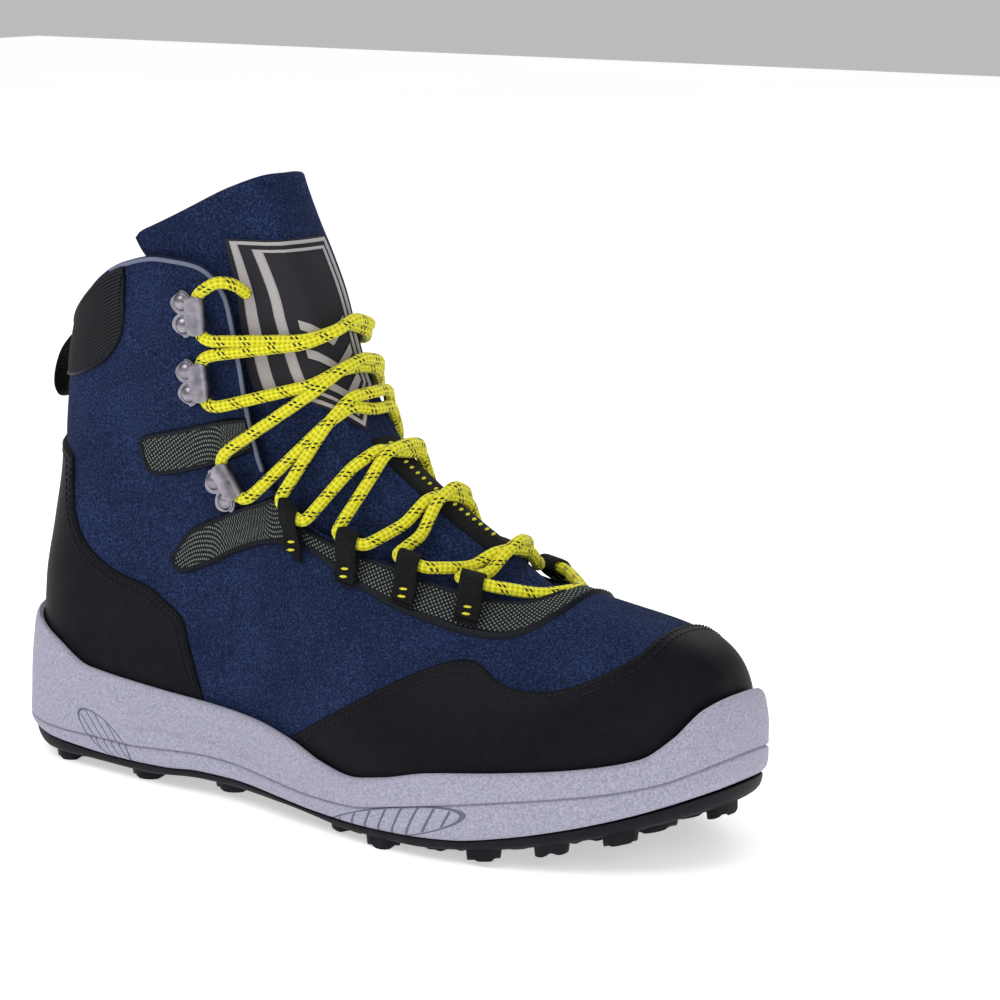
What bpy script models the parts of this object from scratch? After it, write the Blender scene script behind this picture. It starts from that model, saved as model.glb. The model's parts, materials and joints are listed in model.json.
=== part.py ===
"""Wading boot, right foot: a laced ankle boot on a foam cup midsole with a lugged rubber outsole.

Frame: metres, +X towards the toe, +Y the inner side of the foot, +Z up, floor at z = 0.
The tables hold lengths as shares of the boot's length, ball width and height; x is counted
from the back of the heel, and the model is worked out in millimetres.
"""
import math

import bmesh
import bpy
from mathutils import Matrix, Vector

# Named sizes, millimetres
LENGTH = 305.0            # outsole, heel to toe
BALL_WIDTH = 118.0        # outsole across the ball
HEIGHT = 227.0            # floor to the tongue's top
TOE_OVERHANG = 2.9        # midsole's bumper in front of the outsole
HEEL_OVERHANG = 4.2       # pull loop behind the outsole
ORIGIN_X = (LENGTH + TOE_OVERHANG - HEEL_OVERHANG) / 2
ORIGIN_Y = 2.0
WALL = 2.5                # upper's wall on the foot
COLLAR_WALL = 4.0         # padded wall at the collar
GAP = 0.35                # clearance between neighbouring pieces
OVERLAY = 1.0             # thickness of the overlays
UPPER_INSET = -1.9        # upper's outer face from the outsole's outline
HEEL_CAP = 0.131 * LENGTH  # length of the heel's rounded end
TOE_CAP_OUTER, TOE_CAP_INNER = 0.3115 * LENGTH, 0.246 * LENGTH
LACE = 4.5                # lace diameter
COLUMNS = 48              # columns round the upper
RINGS = 9                 # rings from feather edge to top line



def sized(rows, *sizes):
    """Table rows given as shares of named sizes, turned into millimetres column by column."""
    return [tuple(value * size for value, size in zip(row, sizes)) for row in rows]


# Plan outline between its rounded ends: x, outer half width, inner half width
OUTLINE = sized([
    (0, 0.3475, 0.3475), (0.1311, 0.3475, 0.3475), (0.282, 0.3703, 0.339), (0.3607, 0.3661, 0.2924),
    (0.3934, 0.3695, 0.2712), (0.4393, 0.3898, 0.2678), (0.4918, 0.4203, 0.2915), (0.541, 0.4407, 0.3525),
    (0.623, 0.4746, 0.4407), (0.6885, 0.4831, 0.4915), (0.7541, 0.4831, 0.5169), (1, 0.4831, 0.5169),
], LENGTH, BALL_WIDTH, BALL_WIDTH)
# The same at the height where the upper is fullest
BODY = sized([
    (0, 0.3432, 0.3432), (0.1311, 0.339, 0.3305), (0.282, 0.3475, 0.3263), (0.3607, 0.3559, 0.3178),
    (0.4393, 0.3771, 0.3305), (0.541, 0.4322, 0.3898), (0.623, 0.4703, 0.4449), (0.6885, 0.4831, 0.4915),
    (0.7541, 0.4831, 0.5169), (1, 0.4831, 0.5169),
], LENGTH, BALL_WIDTH, BALL_WIDTH)
# Foot's centre line: x, y
CENTRE = sized([
    (0, 0.0254), (0.1475, 0), (0.4918, 0), (0.7705, 0.0508), (1.049, 0.0508),
], LENGTH, BALL_WIDTH)
# Inside floor of the midsole: x, z
FLOOR = sized([
    (0, 0.1101), (0.1967, 0.1057), (0.3607, 0.0859), (0.4918, 0.0661), (0.6951, 0.0573), (0.8197, 0.0705),
    (0.9344, 0.1013), (1.016, 0.1366),
], LENGTH, HEIGHT)
# Underside of the outsole's base: x, z
UNDERSIDE = sized([
    (0, 0.0419), (0.082, 0.0176), (0.2459, 0.0176), (0.3443, 0.0273), (0.4918, 0.0273), (0.6066, 0.0176),
    (0.6951, 0.0176), (0.7705, 0.0247), (0.8525, 0.0414), (0.9344, 0.0678), (1, 0.0952), (1.036, 0.1101),
], LENGTH, HEIGHT)
# Joint of outsole and midsole at the edge: x, z
SOLE_JOINT = sized([
    (0, 0.0639), (0.0492, 0.0511), (0.0951, 0.0414), (0.1934, 0.0335), (0.2918, 0.0361), (0.3443, 0.0414),
    (0.4066, 0.0414), (0.4852, 0.0379), (0.5508, 0.0326), (0.6197, 0.0317), (0.6787, 0.0335),
    (0.7541, 0.0388), (0.8197, 0.0529), (0.8787, 0.0705), (0.9246, 0.0872), (0.9672, 0.1057),
    (0.9967, 0.1207), (1.036, 0.141),
], LENGTH, HEIGHT)
# Midsole's top edge: x, z
CUP_EDGE = sized([
    (-0.0131, 0.2467), (0.0262, 0.2379), (0.0885, 0.2115), (0.1508, 0.1762), (0.2721, 0.1643),
    (0.3607, 0.1568), (0.4393, 0.1489), (0.5115, 0.1339), (0.5574, 0.1163), (0.6098, 0.1066),
    (0.6557, 0.1163), (0.7246, 0.1383), (0.8131, 0.1524), (0.8951, 0.1656), (0.9475, 0.1806),
    (0.9738, 0.2115), (0.9934, 0.2511), (1.023, 0.2819),
], LENGTH, HEIGHT)
# Back of the upper: z, x
BACK = sized([
    (0.0881, 0), (0.1982, -0.0026), (0.2952, -0.002), (0.3965, 0.0079), (0.4978, 0.0197), (0.5727, 0.0236),
    (0.6608, 0.0328), (0.7181, 0.0426), (0.837, 0.059), (1.013, 0.082),
], HEIGHT, LENGTH)
# Ridge of the upper and tongue along the middle: x, z
RIDGE = sized([
    (0, 6.167), (0.1967, 3.084), (0.2951, 1.674), (0.3279, 1.234), (0.3475, 1.093), (0.3705, 0.9956),
    (0.3934, 0.9295), (0.4164, 0.8722), (0.4361, 0.815), (0.4525, 0.7489), (0.4689, 0.6872),
    (0.4984, 0.6211), (0.541, 0.5595), (0.5902, 0.5132), (0.6426, 0.4714), (0.7115, 0.4229),
    (0.7705, 0.3943), (0.8361, 0.3767), (0.9115, 0.3551), (0.9475, 0.3366), (0.9705, 0.3154),
    (0.983, 0.289), (0.9882, 0.2555), (0.9915, 0.2115), (0.9934, 0.1586),
], LENGTH, HEIGHT)
# Narrowing of the shaft: z, share of the width at the feather edge
SHAFT = sized([
    (0.0881, 1.0), (0.185, 0.97), (0.3084, 0.9), (0.4053, 0.82), (0.5066, 0.775), (0.6608, 0.77),
    (0.837, 0.81), (1.013, 0.84),
], HEIGHT, 1)
# Roundness of the arch over the foot: x, exponent of height, exponent of width
ARCH = sized([
    (0.3279, 1.6, 1.3), (0.7049, 1.6, 1.35), (0.8197, 1.9, 1.6), (0.918, 2.3, 2.0), (1, 2.6, 2.2),
], LENGTH, 1, 1)
# Top line from the back of the collar to the throat's end: share of the feather edge, x, |y|, z
TOP_LINE = sized([
    (0.0, 0.0459, 0.0085, 0.7181), (0.07, 0.0623, 0.1441, 0.7357), (0.14, 0.1148, 0.2288, 0.7841),
    (0.21, 0.1902, 0.2542, 0.848), (0.26, 0.2492, 0.2542, 0.8634), (0.31, 0.3082, 0.2542, 0.8546),
    (0.345, 0.3443, 0.2542, 0.8282), (0.375, 0.3607, 0.2542, 0.7577), (0.41, 0.377, 0.2542, 0.6608),
    (0.44, 0.3967, 0.2542, 0.5727), (0.47, 0.4262, 0.2458, 0.5066), (0.51, 0.4754, 0.2373, 0.4626),
    (0.58, 0.5574, 0.2288, 0.4273), (0.66, 0.6393, 0.2203, 0.4009), (0.74, 0.7049, 0.1949, 0.3877),
    (0.82, 0.7475, 0.1525, 0.3877), (0.91, 0.7705, 0.0763, 0.3921), (1.0, 0.777, 0, 0.3921),
], 1, LENGTH, BALL_WIDTH, HEIGHT)

# Edges of the panels seen from the side: x, z
COUNTER_EDGE = sized([
    (-0.0393, 0.5639), (0.0852, 0.5242), (0.0918, 0.4934), (0.0967, 0.4493), (0.1098, 0.4053),
    (0.1344, 0.37), (0.177, 0.3414), (0.2361, 0.3242), (0.2721, 0.3009), (0.2967, 0.2802),
    (0.3115, 0.2357), (0.3279, 0.1921), (0.3443, 0.1454), (0.3541, 0.0441),
], LENGTH, HEIGHT)
RAND_EDGE = sized([
    (0.4525, 0.0352), (0.4741, 0.1123), (0.5377, 0.1696), (0.5934, 0.2137), (0.6413, 0.2511),
    (0.6787, 0.2784), (0.7108, 0.2952), (0.7377, 0.296), (0.7672, 0.2793), (0.8, 0.2687), (0.8393, 0.2709),
    (0.8721, 0.2863), (0.8984, 0.3084), (0.918, 0.337), (0.9262, 0.4185),
], LENGTH, HEIGHT)
EYESTAY_EDGE = sized([
    (0.4918, 0.5727), (0.4223, 0.5035), (0.3656, 0.474), (0.3308, 0.4515), (0.2977, 0.43),
    (0.2787, 0.4009), (0.2689, 0.3771), (0.2754, 0.3595), (0.2921, 0.3542), (0.3364, 0.3771),
    (0.3666, 0.3987), (0.4098, 0.4194), (0.4505, 0.4256), (0.4849, 0.4167), (0.5377, 0.3894),
    (0.6013, 0.3595), (0.6649, 0.3392), (0.7125, 0.3278), (0.7518, 0.3269), (0.7754, 0.3366),
    (0.7934, 0.3546), (0.8049, 0.3789), (0.8098, 0.4405), (0.7541, 0.5727),
], LENGTH, HEIGHT)
BAND_EDGE = sized([
    (0.4197, 0.6291), (0.3495, 0.6167), (0.282, 0.593), (0.2174, 0.57), (0.2151, 0.5463), (0.22, 0.522),
    (0.2331, 0.5075), (0.2633, 0.5119), (0.3144, 0.53), (0.3492, 0.5467), (0.3846, 0.5652),
    (0.4197, 0.5837),
], LENGTH, HEIGHT)
PANEL_EDGE = sized([
    (-0.0393, 0.6432), (0.0459, 0.6449), (0.0984, 0.6546), (0.1344, 0.6709), (0.1639, 0.6943),
    (0.1836, 0.7269), (0.1921, 0.7621), (0.1961, 0.8172), (0.198, 0.9031), (-0.0393, 0.9031),
], LENGTH, HEIGHT)

# Tongue: share of its length, middle x, middle z, wing x, wing |y|, wing z
TONGUE = sized([
    (0.0, 0.8131, 0.3789, 0.7967, 0.1695, 0.3612), (0.12, 0.7016, 0.4273, 0.6852, 0.2797, 0.3524),
    (0.26, 0.6131, 0.4934, 0.6033, 0.2966, 0.3524), (0.4, 0.5508, 0.5507, 0.5311, 0.3051, 0.3789),
    (0.52, 0.4984, 0.6211, 0.4557, 0.3136, 0.4317), (0.64, 0.4656, 0.7004, 0.3869, 0.3051, 0.5463),
    (0.76, 0.4426, 0.793, 0.3213, 0.2881, 0.6872), (0.88, 0.4131, 0.8943, 0.2754, 0.2712, 0.8194),
    (1.0, 0.3738, 0.9956, 0.2393, 0.2542, 0.9075),
], 1, LENGTH, HEIGHT, LENGTH, BALL_WIDTH, HEIGHT)

# Lace loops: place along the eyestay, x of the loop
LOOPS_OUTER = sized([
    (1, 0.4557), (2, 0.5377), (3, 0.6164), (4, 0.6918),
], 1, LENGTH)
LOOPS_INNER = sized([
    (1, 0.4787), (2, 0.5574), (3, 0.6295), (4, 0.6984),
], 1, LENGTH)
# Hooks: name, x, z of the middle of the plate, tilt in degrees
HOOKS = sized([
    (1, 0.3115, 0.7841, 4.0), (2, 0.3164, 0.674, 8.0), (3, 0.3623, 0.5154, 35.0),
], 1, LENGTH, HEIGHT, 1)
# Hook's sheet: distance along it, half width, distance out from the plate, reach along the boot
HOOK_SHEET = [
    (0.0, 5.0, 0.0, -11.5), (1.5, 7.4, 0.0, -10.0), (4.0, 8.7, 0.0, -7.5), (7.0, 8.4, 0.0, -4.5), (9.5, 6.0, 0.0, -2.0),
    (12.0, 4.9, 0.2, 0.8), (14.5, 5.0, 1.3, 3.6), (17.0, 5.6, 3.4, 5.2), (19.3, 6.6, 5.6, 5.0),
    (21.6, 7.2, 6.9, 3.2), (23.8, 6.6, 7.1, 1.0), (25.2, 4.6, 6.8, -0.4),
]

MM = 0.001


def smooth(rows, key, column=1):
    """Value of a table's column at a key, on a monotone curve through its rows."""
    last = len(rows) - 1
    if key <= rows[0][0]:
        return rows[0][column]
    if key >= rows[last][0]:
        return rows[last][column]
    k = 0
    while rows[k + 1][0] < key:
        k += 1

    def rise(i):
        return (rows[i + 1][column] - rows[i][column]) / (rows[i + 1][0] - rows[i][0])

    def slope(i):
        if i == 0 or i == last:
            return rise(min(i, last - 1))
        before, after = rise(i - 1), rise(i)
        return 0.0 if before * after <= 0 else 2 * before * after / (before + after)

    step = rows[k + 1][0] - rows[k][0]
    u = (key - rows[k][0]) / step
    return (rows[k][column] * (1 + 2 * u) * (1 - u) ** 2 + rows[k + 1][column] * u * u * (3 - 2 * u)
            + step * (slope(k) * u * (1 - u) ** 2 - slope(k + 1) * u * u * (1 - u)))


def ease(value, low, high):
    """Smooth step from 0 at low to 1 at high."""
    u = min(max((value - low) / (high - low), 0.0), 1.0)
    return u * u * (3 - 2 * u)


def cap(u, power):
    """Rounded end: 1 at u = 0, 0 at u = 1."""
    u = min(max(u, 0.0), 1.0)
    return (1 - u ** power) ** (1 / power)


def half_width(rows, side, x, grow):
    """Half width of an outline from the centre line; side -1 is the outer side, grow widens it all round."""
    middle = LENGTH / 2
    x = middle + (x - middle) * middle / (middle + grow)
    centre = smooth(CENTRE, x)
    width = smooth(rows, x, 1 if side < 0 else 2) - side * centre
    if x < HEEL_CAP:
        width *= cap((HEEL_CAP - x) / HEEL_CAP, 2.2)
    if side < 0:
        width *= cap((x - LENGTH + TOE_CAP_OUTER) / TOE_CAP_OUTER, 1.8)
    else:
        width *= cap((x - LENGTH + TOE_CAP_INNER) / TOE_CAP_INNER, 2.3)
    return width + grow * min(1.0, width / 8)


def edge_point(side, share, grow):
    """Point of the plan outline at a share of its way from heel to toe, seen from above."""
    low, high = -grow, LENGTH + grow
    table = edge_table(side, grow)
    goal = share * table[-1][0]
    k = 0
    while k < len(table) - 2 and table[k + 1][0] < goal:
        k += 1
    u = (goal - table[k][0]) / (table[k + 1][0] - table[k][0])
    turn = table[k][1] + (table[k + 1][1] - table[k][1]) * u
    x = low + (high - low) * (1 - math.cos(math.pi * turn)) / 2
    return x, smooth(CENTRE, x) + side * half_width(OUTLINE, side, x, grow)


EDGE_TABLES = {}


def edge_table(side, grow):
    """Distance run along the outline against the turn parameter."""
    if (side, grow) not in EDGE_TABLES:
        low, high = -grow, LENGTH + grow
        table, run, before = [], 0.0, None
        for i in range(241):
            turn = i / 240
            x = low + (high - low) * (1 - math.cos(math.pi * turn)) / 2
            y = half_width(OUTLINE, side, x, grow) * side + smooth(CENTRE, x)
            if before:
                run += math.hypot(x - before[0], y - before[1])
            table.append((run, turn))
            before = (x, y)
        EDGE_TABLES[(side, grow)] = table
    return EDGE_TABLES[(side, grow)]


RIDGE_BY_HEIGHT = sorted((z, x) for x, z in RIDGE)


def upper_half_width(side, x, z):
    """Half width of the upper's outer surface from the centre line at a place in the side view."""
    lean = smooth(BACK, z) * (1 - ease(x, 0.082 * LENGTH, 0.344 * LENGTH))
    x_base = x - lean
    rise = ease(z - smooth(FLOOR, x), 0, 0.15 * HEIGHT)
    foot = half_width(OUTLINE, side, x_base, UPPER_INSET) * (1 - rise) + half_width(BODY, side, x_base, UPPER_INSET) * rise
    foot *= 1 + (smooth(SHAFT, z) - 1) * (1 - ease(x, 0.344 * LENGTH, 0.574 * LENGTH))
    wall_top = smooth(FLOOR, x) + 0.07 * HEIGHT
    height = (z - wall_top) / max(smooth(RIDGE, x) - wall_top, 1.0)
    height = min(max(height, 0.0), 1.0)
    over = (1 - height ** smooth(ARCH, x, 1)) ** (1 / smooth(ARCH, x, 2))
    front = smooth(RIDGE_BY_HEIGHT, z)
    heart = 0.223 * LENGTH
    round_off = cap(max(x - heart, 0.0) / (front - heart), 2.5) if front > x else 0.0
    mix = ease(z, 0.423 * HEIGHT, 0.626 * HEIGHT)
    return foot * (over * (1 - mix) + round_off * mix)


def spine_point(point):
    """Point on the boot's inner spine from which the surface is looked for through a point near it."""
    x = min(max(point.x, 0.203 * LENGTH), 0.78 * LENGTH)
    level = point.z + (0.198 * HEIGHT - point.z) * ease(point.x, 0.262 * LENGTH, 0.443 * LENGTH)
    return Vector((x, smooth(CENTRE, x), level))


def inside(point):
    y = point.y - smooth(CENTRE, point.x)
    side = -1 if y < 0 else 1
    return abs(y) < upper_half_width(side, point.x, point.z)


def cast(guess):
    """The surface's point on the line from the spine through a guess."""
    start = spine_point(guess)
    low, high = 0.1, 2.6
    for _ in range(26):
        middle = (low + high) / 2
        if inside(start + (guess - start) * middle):
            low = middle
        else:
            high = middle
    return start + (guess - start) * low


COLUMN_TABLES = {}


def column_guess(side, share, t):
    """Guess for a column's point: t runs from the feather edge to the top line."""
    x, y = edge_point(side, share, UPPER_INSET)
    foot = Vector((x, y, smooth(FLOOR, x) + 0.4))
    top_x = smooth(TOP_LINE, share, 1)
    top = Vector((top_x, side * smooth(TOP_LINE, share, 2) + smooth(CENTRE, top_x), smooth(TOP_LINE, share, 3)))
    guess = foot.lerp(top, t)
    guess.z += 0.044 * HEIGHT * math.sin(math.pi * t) * ease(share, 0.75, 1.0)
    return guess


def column_table(side, share):
    key = (side, round(share, 6))
    if key not in COLUMN_TABLES:
        table, run, before = [], 0.0, None
        for i in range(33):
            point = cast(column_guess(side, share, i / 32))
            if before:
                run += (point - before).length
            table.append((run, i / 32))
            before = point
        COLUMN_TABLES[key] = table
    return COLUMN_TABLES[key]


def upper_point(side, share, ring):
    """Point of the upper's outer surface: share 0 heel to 1 toe, ring 0 feather edge to 1 top line."""
    table = column_table(side, share)
    goal = min(max(ring, 0.0), 1.0) * table[-1][0]
    k = 0
    while k < len(table) - 2 and table[k + 1][0] < goal:
        k += 1
    u = (goal - table[k][0]) / (table[k + 1][0] - table[k][0])
    return cast(column_guess(side, share, table[k][1] + (table[k + 1][1] - table[k][1]) * u))


def loop_column(index, count):
    """Side and share of a column of the closed loop round the boot, starting at the heel."""
    turn = index / count * 2
    return (-1, turn) if turn <= 1 else (1, 2 - turn)


def upper_grid():
    """Points and outward normals of the upper's outer surface, column by column."""
    points = []
    for i in range(COLUMNS):
        side, share = loop_column(i, COLUMNS)
        points.append([upper_point(side, share, ring / RINGS) for ring in range(RINGS + 1)])
    normals = grid_normals(points, True)
    return points, normals


def grid_normals(points, closed):
    """Normals of a grid of columns, from the neighbours of each point."""
    count = len(points)
    normals = []
    for i, column in enumerate(points):
        before = points[(i - 1) % count] if closed else points[max(i - 1, 0)]
        after = points[(i + 1) % count] if closed else points[min(i + 1, count - 1)]
        row = []
        for j in range(len(column)):
            along = after[j] - before[j]
            up = column[min(j + 1, len(column) - 1)] - column[max(j - 1, 0)]
            row.append(along.cross(up).normalized())
        normals.append(row)
    return normals


def place(point):
    """Table frame in millimetres to the part's frame in metres."""
    return Vector(((point[0] - ORIGIN_X) * MM, (point[1] - ORIGIN_Y) * MM, point[2] * MM))


def add_object(name, bm, material, smooth_angle=35.0):
    """Object from a bmesh in the table frame, shaded smooth except over sharp edges."""
    for vert in bm.verts:
        vert.co = place(vert.co)
    bmesh.ops.recalc_face_normals(bm, faces=bm.faces)
    mesh = bpy.data.meshes.new(name)
    bm.to_mesh(mesh)
    bm.free()
    if smooth_angle:
        mesh.shade_smooth()
        mesh.set_sharp_from_angle(angle=math.radians(smooth_angle))
    obj = bpy.data.objects.new(name, mesh)
    bpy.context.scene.collection.objects.link(obj)
    if material:
        mesh.materials.append(material)
    return obj


def make_material(name, colour, roughness, metallic=0.0):
    material = bpy.data.materials.new(name)
    material.use_nodes = True
    shader = material.node_tree.nodes["Principled BSDF"]
    shader.inputs["Base Color"].default_value = (*colour, 1.0)
    shader.inputs["Roughness"].default_value = roughness
    shader.inputs["Metallic"].default_value = metallic
    material.diffuse_color = (*colour, 1.0)
    return material


def shell_mesh(outer, inner, closed):
    """Solid between two grids of the same size, closed round the columns or open."""
    bm = bmesh.new()
    rows = len(outer[0])
    outside = [[bm.verts.new(p) for p in column] for column in outer]
    within = [[bm.verts.new(p) for p in column] for column in inner]
    count = len(outer)
    for i in range(count if closed else count - 1):
        k = (i + 1) % count
        for j in range(rows - 1):
            bm.faces.new((outside[i][j], outside[k][j], outside[k][j + 1]))
            bm.faces.new((outside[i][j], outside[k][j + 1], outside[i][j + 1]))
            bm.faces.new((within[k][j + 1], within[k][j], within[i][j]))
            bm.faces.new((within[i][j + 1], within[k][j + 1], within[i][j]))
        bm.faces.new((within[i][0], within[k][0], outside[k][0], outside[i][0]))
        bm.faces.new((outside[i][-1], outside[k][-1], within[k][-1], within[i][-1]))
    if not closed:
        for j in range(rows - 1):
            bm.faces.new((outside[0][j], outside[0][j + 1], within[0][j + 1], within[0][j]))
            bm.faces.new((within[-1][j], within[-1][j + 1], outside[-1][j + 1], outside[-1][j]))
    return bm


def offset_grid(points, normals, distance):
    """Grid moved along its normals by a distance, which may depend on column and ring."""
    grid = []
    for i, column in enumerate(points):
        grid.append([p + normals[i][j] * (distance(i, j) if callable(distance) else distance)
                     for j, p in enumerate(column)])
    return grid


def side_cutter(name, edge, sides):
    """Prism over an outline seen from the side, reaching out to one side or through both."""
    low, high = (-110, 110) if sides == 0 else sorted((sides * 0.2 + 5.5, sides * 110))
    bm = bmesh.new()
    near = [bm.verts.new((x, low, z)) for x, z in edge]
    far = [bm.verts.new((x, high, z)) for x, z in edge]
    bm.faces.new(near)
    bm.faces.new(list(reversed(far)))
    for i in range(len(edge)):
        k = (i + 1) % len(edge)
        bm.faces.new((near[k], near[i], far[i], far[k]))
    cutter = add_object(name, bm, None, 0)
    cutter.hide_render = True
    cutter.display_type = 'WIRE'
    return cutter


def cut(obj, cutter, operation):
    """Boolean modifier on an object."""
    modifier = obj.modifiers.new(operation.lower(), 'BOOLEAN')
    modifier.operation = operation
    modifier.solver = 'EXACT'
    modifier.object = cutter


for old in list(bpy.data.objects):
    bpy.data.objects.remove(old, do_unlink=True)

NAVY = make_material("navy_textile", (0.016, 0.028, 0.095), 0.85)
BLACK = make_material("black_synthetic", (0.012, 0.012, 0.014), 0.6)
MESH = make_material("grey_mesh", (0.05, 0.055, 0.05), 0.8)
FOAM = make_material("grey_foam", (0.46, 0.46, 0.54), 0.55)
RUBBER = make_material("black_rubber", (0.012, 0.014, 0.018), 0.55)
METAL = make_material("pewter_metal", (0.42, 0.42, 0.44), 0.35, 1.0)
YELLOW = make_material("yellow_cord", (0.80, 0.75, 0.03), 0.6)
PLATE = make_material("yellow_rubber", (0.75, 0.80, 0.05), 0.5)
WEBBING = make_material("black_webbing", (0.015, 0.017, 0.015), 0.8)
LINING = make_material("grey_lining", (0.10, 0.10, 0.12), 0.9)

# Upper: one hollow wall, open at the collar, along the throat and underneath
POINTS, NORMALS = upper_grid()


def wall_at(column, ring):
    """Wall thickness: padded towards the collar."""
    height = POINTS[column][ring].z
    share = loop_column(column, COLUMNS)[1]
    return WALL + (COLLAR_WALL - WALL) * ease(height, 0.53 * HEIGHT, 0.73 * HEIGHT) * (1 - ease(share, 0.33, 0.40))


inner_grid = offset_grid(POINTS, NORMALS, lambda i, j: -wall_at(i, j))
for column in range(COLUMNS):
    inner_grid[column][0].z = POINTS[column][0].z
upper = add_object("upper", shell_mesh(POINTS, inner_grid, True), NAVY)

# Overlays: each cut from a thin form that lies on the upper's own surface


def overlay(name, edge, sides, material, thickness=OVERLAY, far=0.0):
    """Panel on the upper inside an outline seen from the side."""
    near = offset_grid(POINTS, NORMALS, GAP + far)
    out = offset_grid(POINTS, NORMALS, GAP + far + thickness)
    for column in range(COLUMNS):
        near[column][0].z = out[column][0].z = POINTS[column][0].z
    panel = add_object(name, shell_mesh(out, near, True), material)
    cut(panel, side_cutter("outline_" + name, edge, sides), 'INTERSECT')
    return panel


overlay("heel_counter", COUNTER_EDGE + [(-12, 10)], 0, BLACK)
overlay("toe_rand", RAND_EDGE + [(320, 95), (320, 8)], 0, BLACK)
overlay("eyestay_lateral", EYESTAY_EDGE, -1, MESH)
overlay("eyestay_medial", EYESTAY_EDGE, 1, MESH)
overlay("ankle_band_lateral", BAND_EDGE, -1, MESH)
overlay("ankle_band_medial", BAND_EDGE, 1, MESH)
overlay("collar_panel", PANEL_EDGE, 0, MESH)


# Midsole: a cup round the foot of the upper
# Groove in the midsole's side: x, z
GROOVE = sized([
    (0, 0.0705), (0.1311, 0.0617), (0.223, 0.0617), (0.2721, 0.0661), (0.3508, 0.0722), (0.4066, 0.0705),
    (0.4951, 0.0634), (0.5475, 0.059), (0.6164, 0.0617), (0.6918, 0.0793), (0.7574, 0.0952),
    (0.8164, 0.1084), (0.8787, 0.1207), (0.9246, 0.1304), (0.9705, 0.1454), (0.9934, 0.1604),
    (1.023, 0.185),
], LENGTH, HEIGHT)
CUP_CLEARANCE = OVERLAY + 3.2 * GAP
CUP_LIP = 2.6
CUP_LEVELS = (0.0, 0.34, 0.67, 1.0)


def cup_column(index):
    """Inner wall points of one column of the cup, from floor to edge."""
    side, share = loop_column(index, COLUMNS)
    x, y = edge_point(side, share, UPPER_INSET)
    low, high = smooth(FLOOR, x), smooth(CUP_EDGE, x)
    return [cast(Vector((x, y, low + (high - low) * level))) for level in CUP_LEVELS]


def cap_strips(bm, ring, upward):
    """Close a ring of vertices that starts at the heel with strips from side to side."""
    count = len(ring)
    half = count // 2
    for i in range(half):
        face = [ring[i], ring[(i + 1)], ring[(count - i - 1) % count], ring[(count - i) % count]]
        face = list(dict.fromkeys(face))
        bm.faces.new(face if upward else list(reversed(face)))


cup_inner = [cup_column(i) for i in range(COLUMNS)]
cup_normals = grid_normals(cup_inner, True)
for i in range(COLUMNS):
    for j in range(len(CUP_LEVELS)):
        flat = cup_normals[i][j].copy()
        flat.z = 0
        flat.normalize()
        cup_normals[i][j] = flat
bm = bmesh.new()
rows = []
for i in range(COLUMNS):
    side, share = loop_column(i, COLUMNS)
    foot_x, foot_y = edge_point(side, share, 2.6)
    joint = smooth(SOLE_JOINT, foot_x) + GAP / 2
    top = cup_inner[i][-1] + cup_normals[i][-1] * (CUP_CLEARANCE + CUP_LIP)
    top.z = smooth(CUP_EDGE, top.x)
    bottom = Vector((foot_x, foot_y, joint))
    outward = cup_normals[i][1]
    groove = (smooth(GROOVE, foot_x) - joint) / (top.z - joint)
    side_rows = [(0.0, -1.6), (groove * 0.4, 0.4), (groove - 0.05, 0.7), (groove, -0.5), (groove + 0.05, 0.8),
                 (0.5 + groove * 0.5, 1.1), (0.93, 0.4), (1.0, -0.7)]
    column = [bottom.lerp(top, share_up) + outward * bulge for share_up, bulge in side_rows]
    for j in range(len(CUP_LEVELS) - 1, -1, -1):
        column.append(cup_inner[i][j] + cup_normals[i][j] * CUP_CLEARANCE)
    rows.append([bm.verts.new(p) for p in column])
for i in range(COLUMNS):
    k = (i + 1) % COLUMNS
    for j in range(len(rows[0]) - 1):
        bm.faces.new((rows[i][j], rows[k][j], rows[k][j + 1], rows[i][j + 1]))
cap_strips(bm, [row[-1] for row in rows], True)
cap_strips(bm, [row[0] for row in rows], False)
midsole = add_object("midsole", bm, FOAM, 50)


def slab(name, grow, bottom, top, material, columns=COLUMNS, steps=None):
    """Plate with the boot's outline between two height functions of x; steps adds rows to its edge."""
    bm = bmesh.new()
    levels = [(grow, 0.0), (grow, 1.0)] if steps is None else steps
    rings = []
    for grown, level in levels:
        ring = []
        for i in range(columns):
            side, share = loop_column(i, columns)
            x, y = edge_point(side, share, grown)
            ring.append(bm.verts.new((x, y, bottom(x) + (top(x) - bottom(x)) * level)))
        rings.append(ring)
    for low, high in zip(rings, rings[1:]):
        for i in range(columns):
            k = (i + 1) % columns
            bm.faces.new((low[i], low[k], high[k], high[i]))
    cap_strips(bm, rings[-1], True)
    cap_strips(bm, rings[0], False)
    return add_object(name, bm, material, 40)


insole = slab("insole", UPPER_INSET - WALL - 1.4, lambda x: smooth(FLOOR, x) + 0.5,
              lambda x: smooth(FLOOR, x) + 4.0, LINING)

# Outsole: a base with rows of three-lobed lugs and small studs below it
LUG_HEIGHT = 4.0
LUG_PITCH_X, LUG_PITCH_Y = 20.9, 21.9
LUG_RADIUS = 8.2
PLATE_AT = (0.439 * LENGTH, -0.057 * BALL_WIDTH)
PLATE_SIZE = (42.0, 12.0, 2.2)
PLATE_TURN = math.radians(46)
outsole = slab("outsole", 1.0, lambda x: smooth(UNDERSIDE, x), lambda x: smooth(SOLE_JOINT, x) - GAP / 2, RUBBER,
               COLUMNS, [(-1.5, 0.0), (1.0, 0.35), (1.4, 1.0)])


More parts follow.
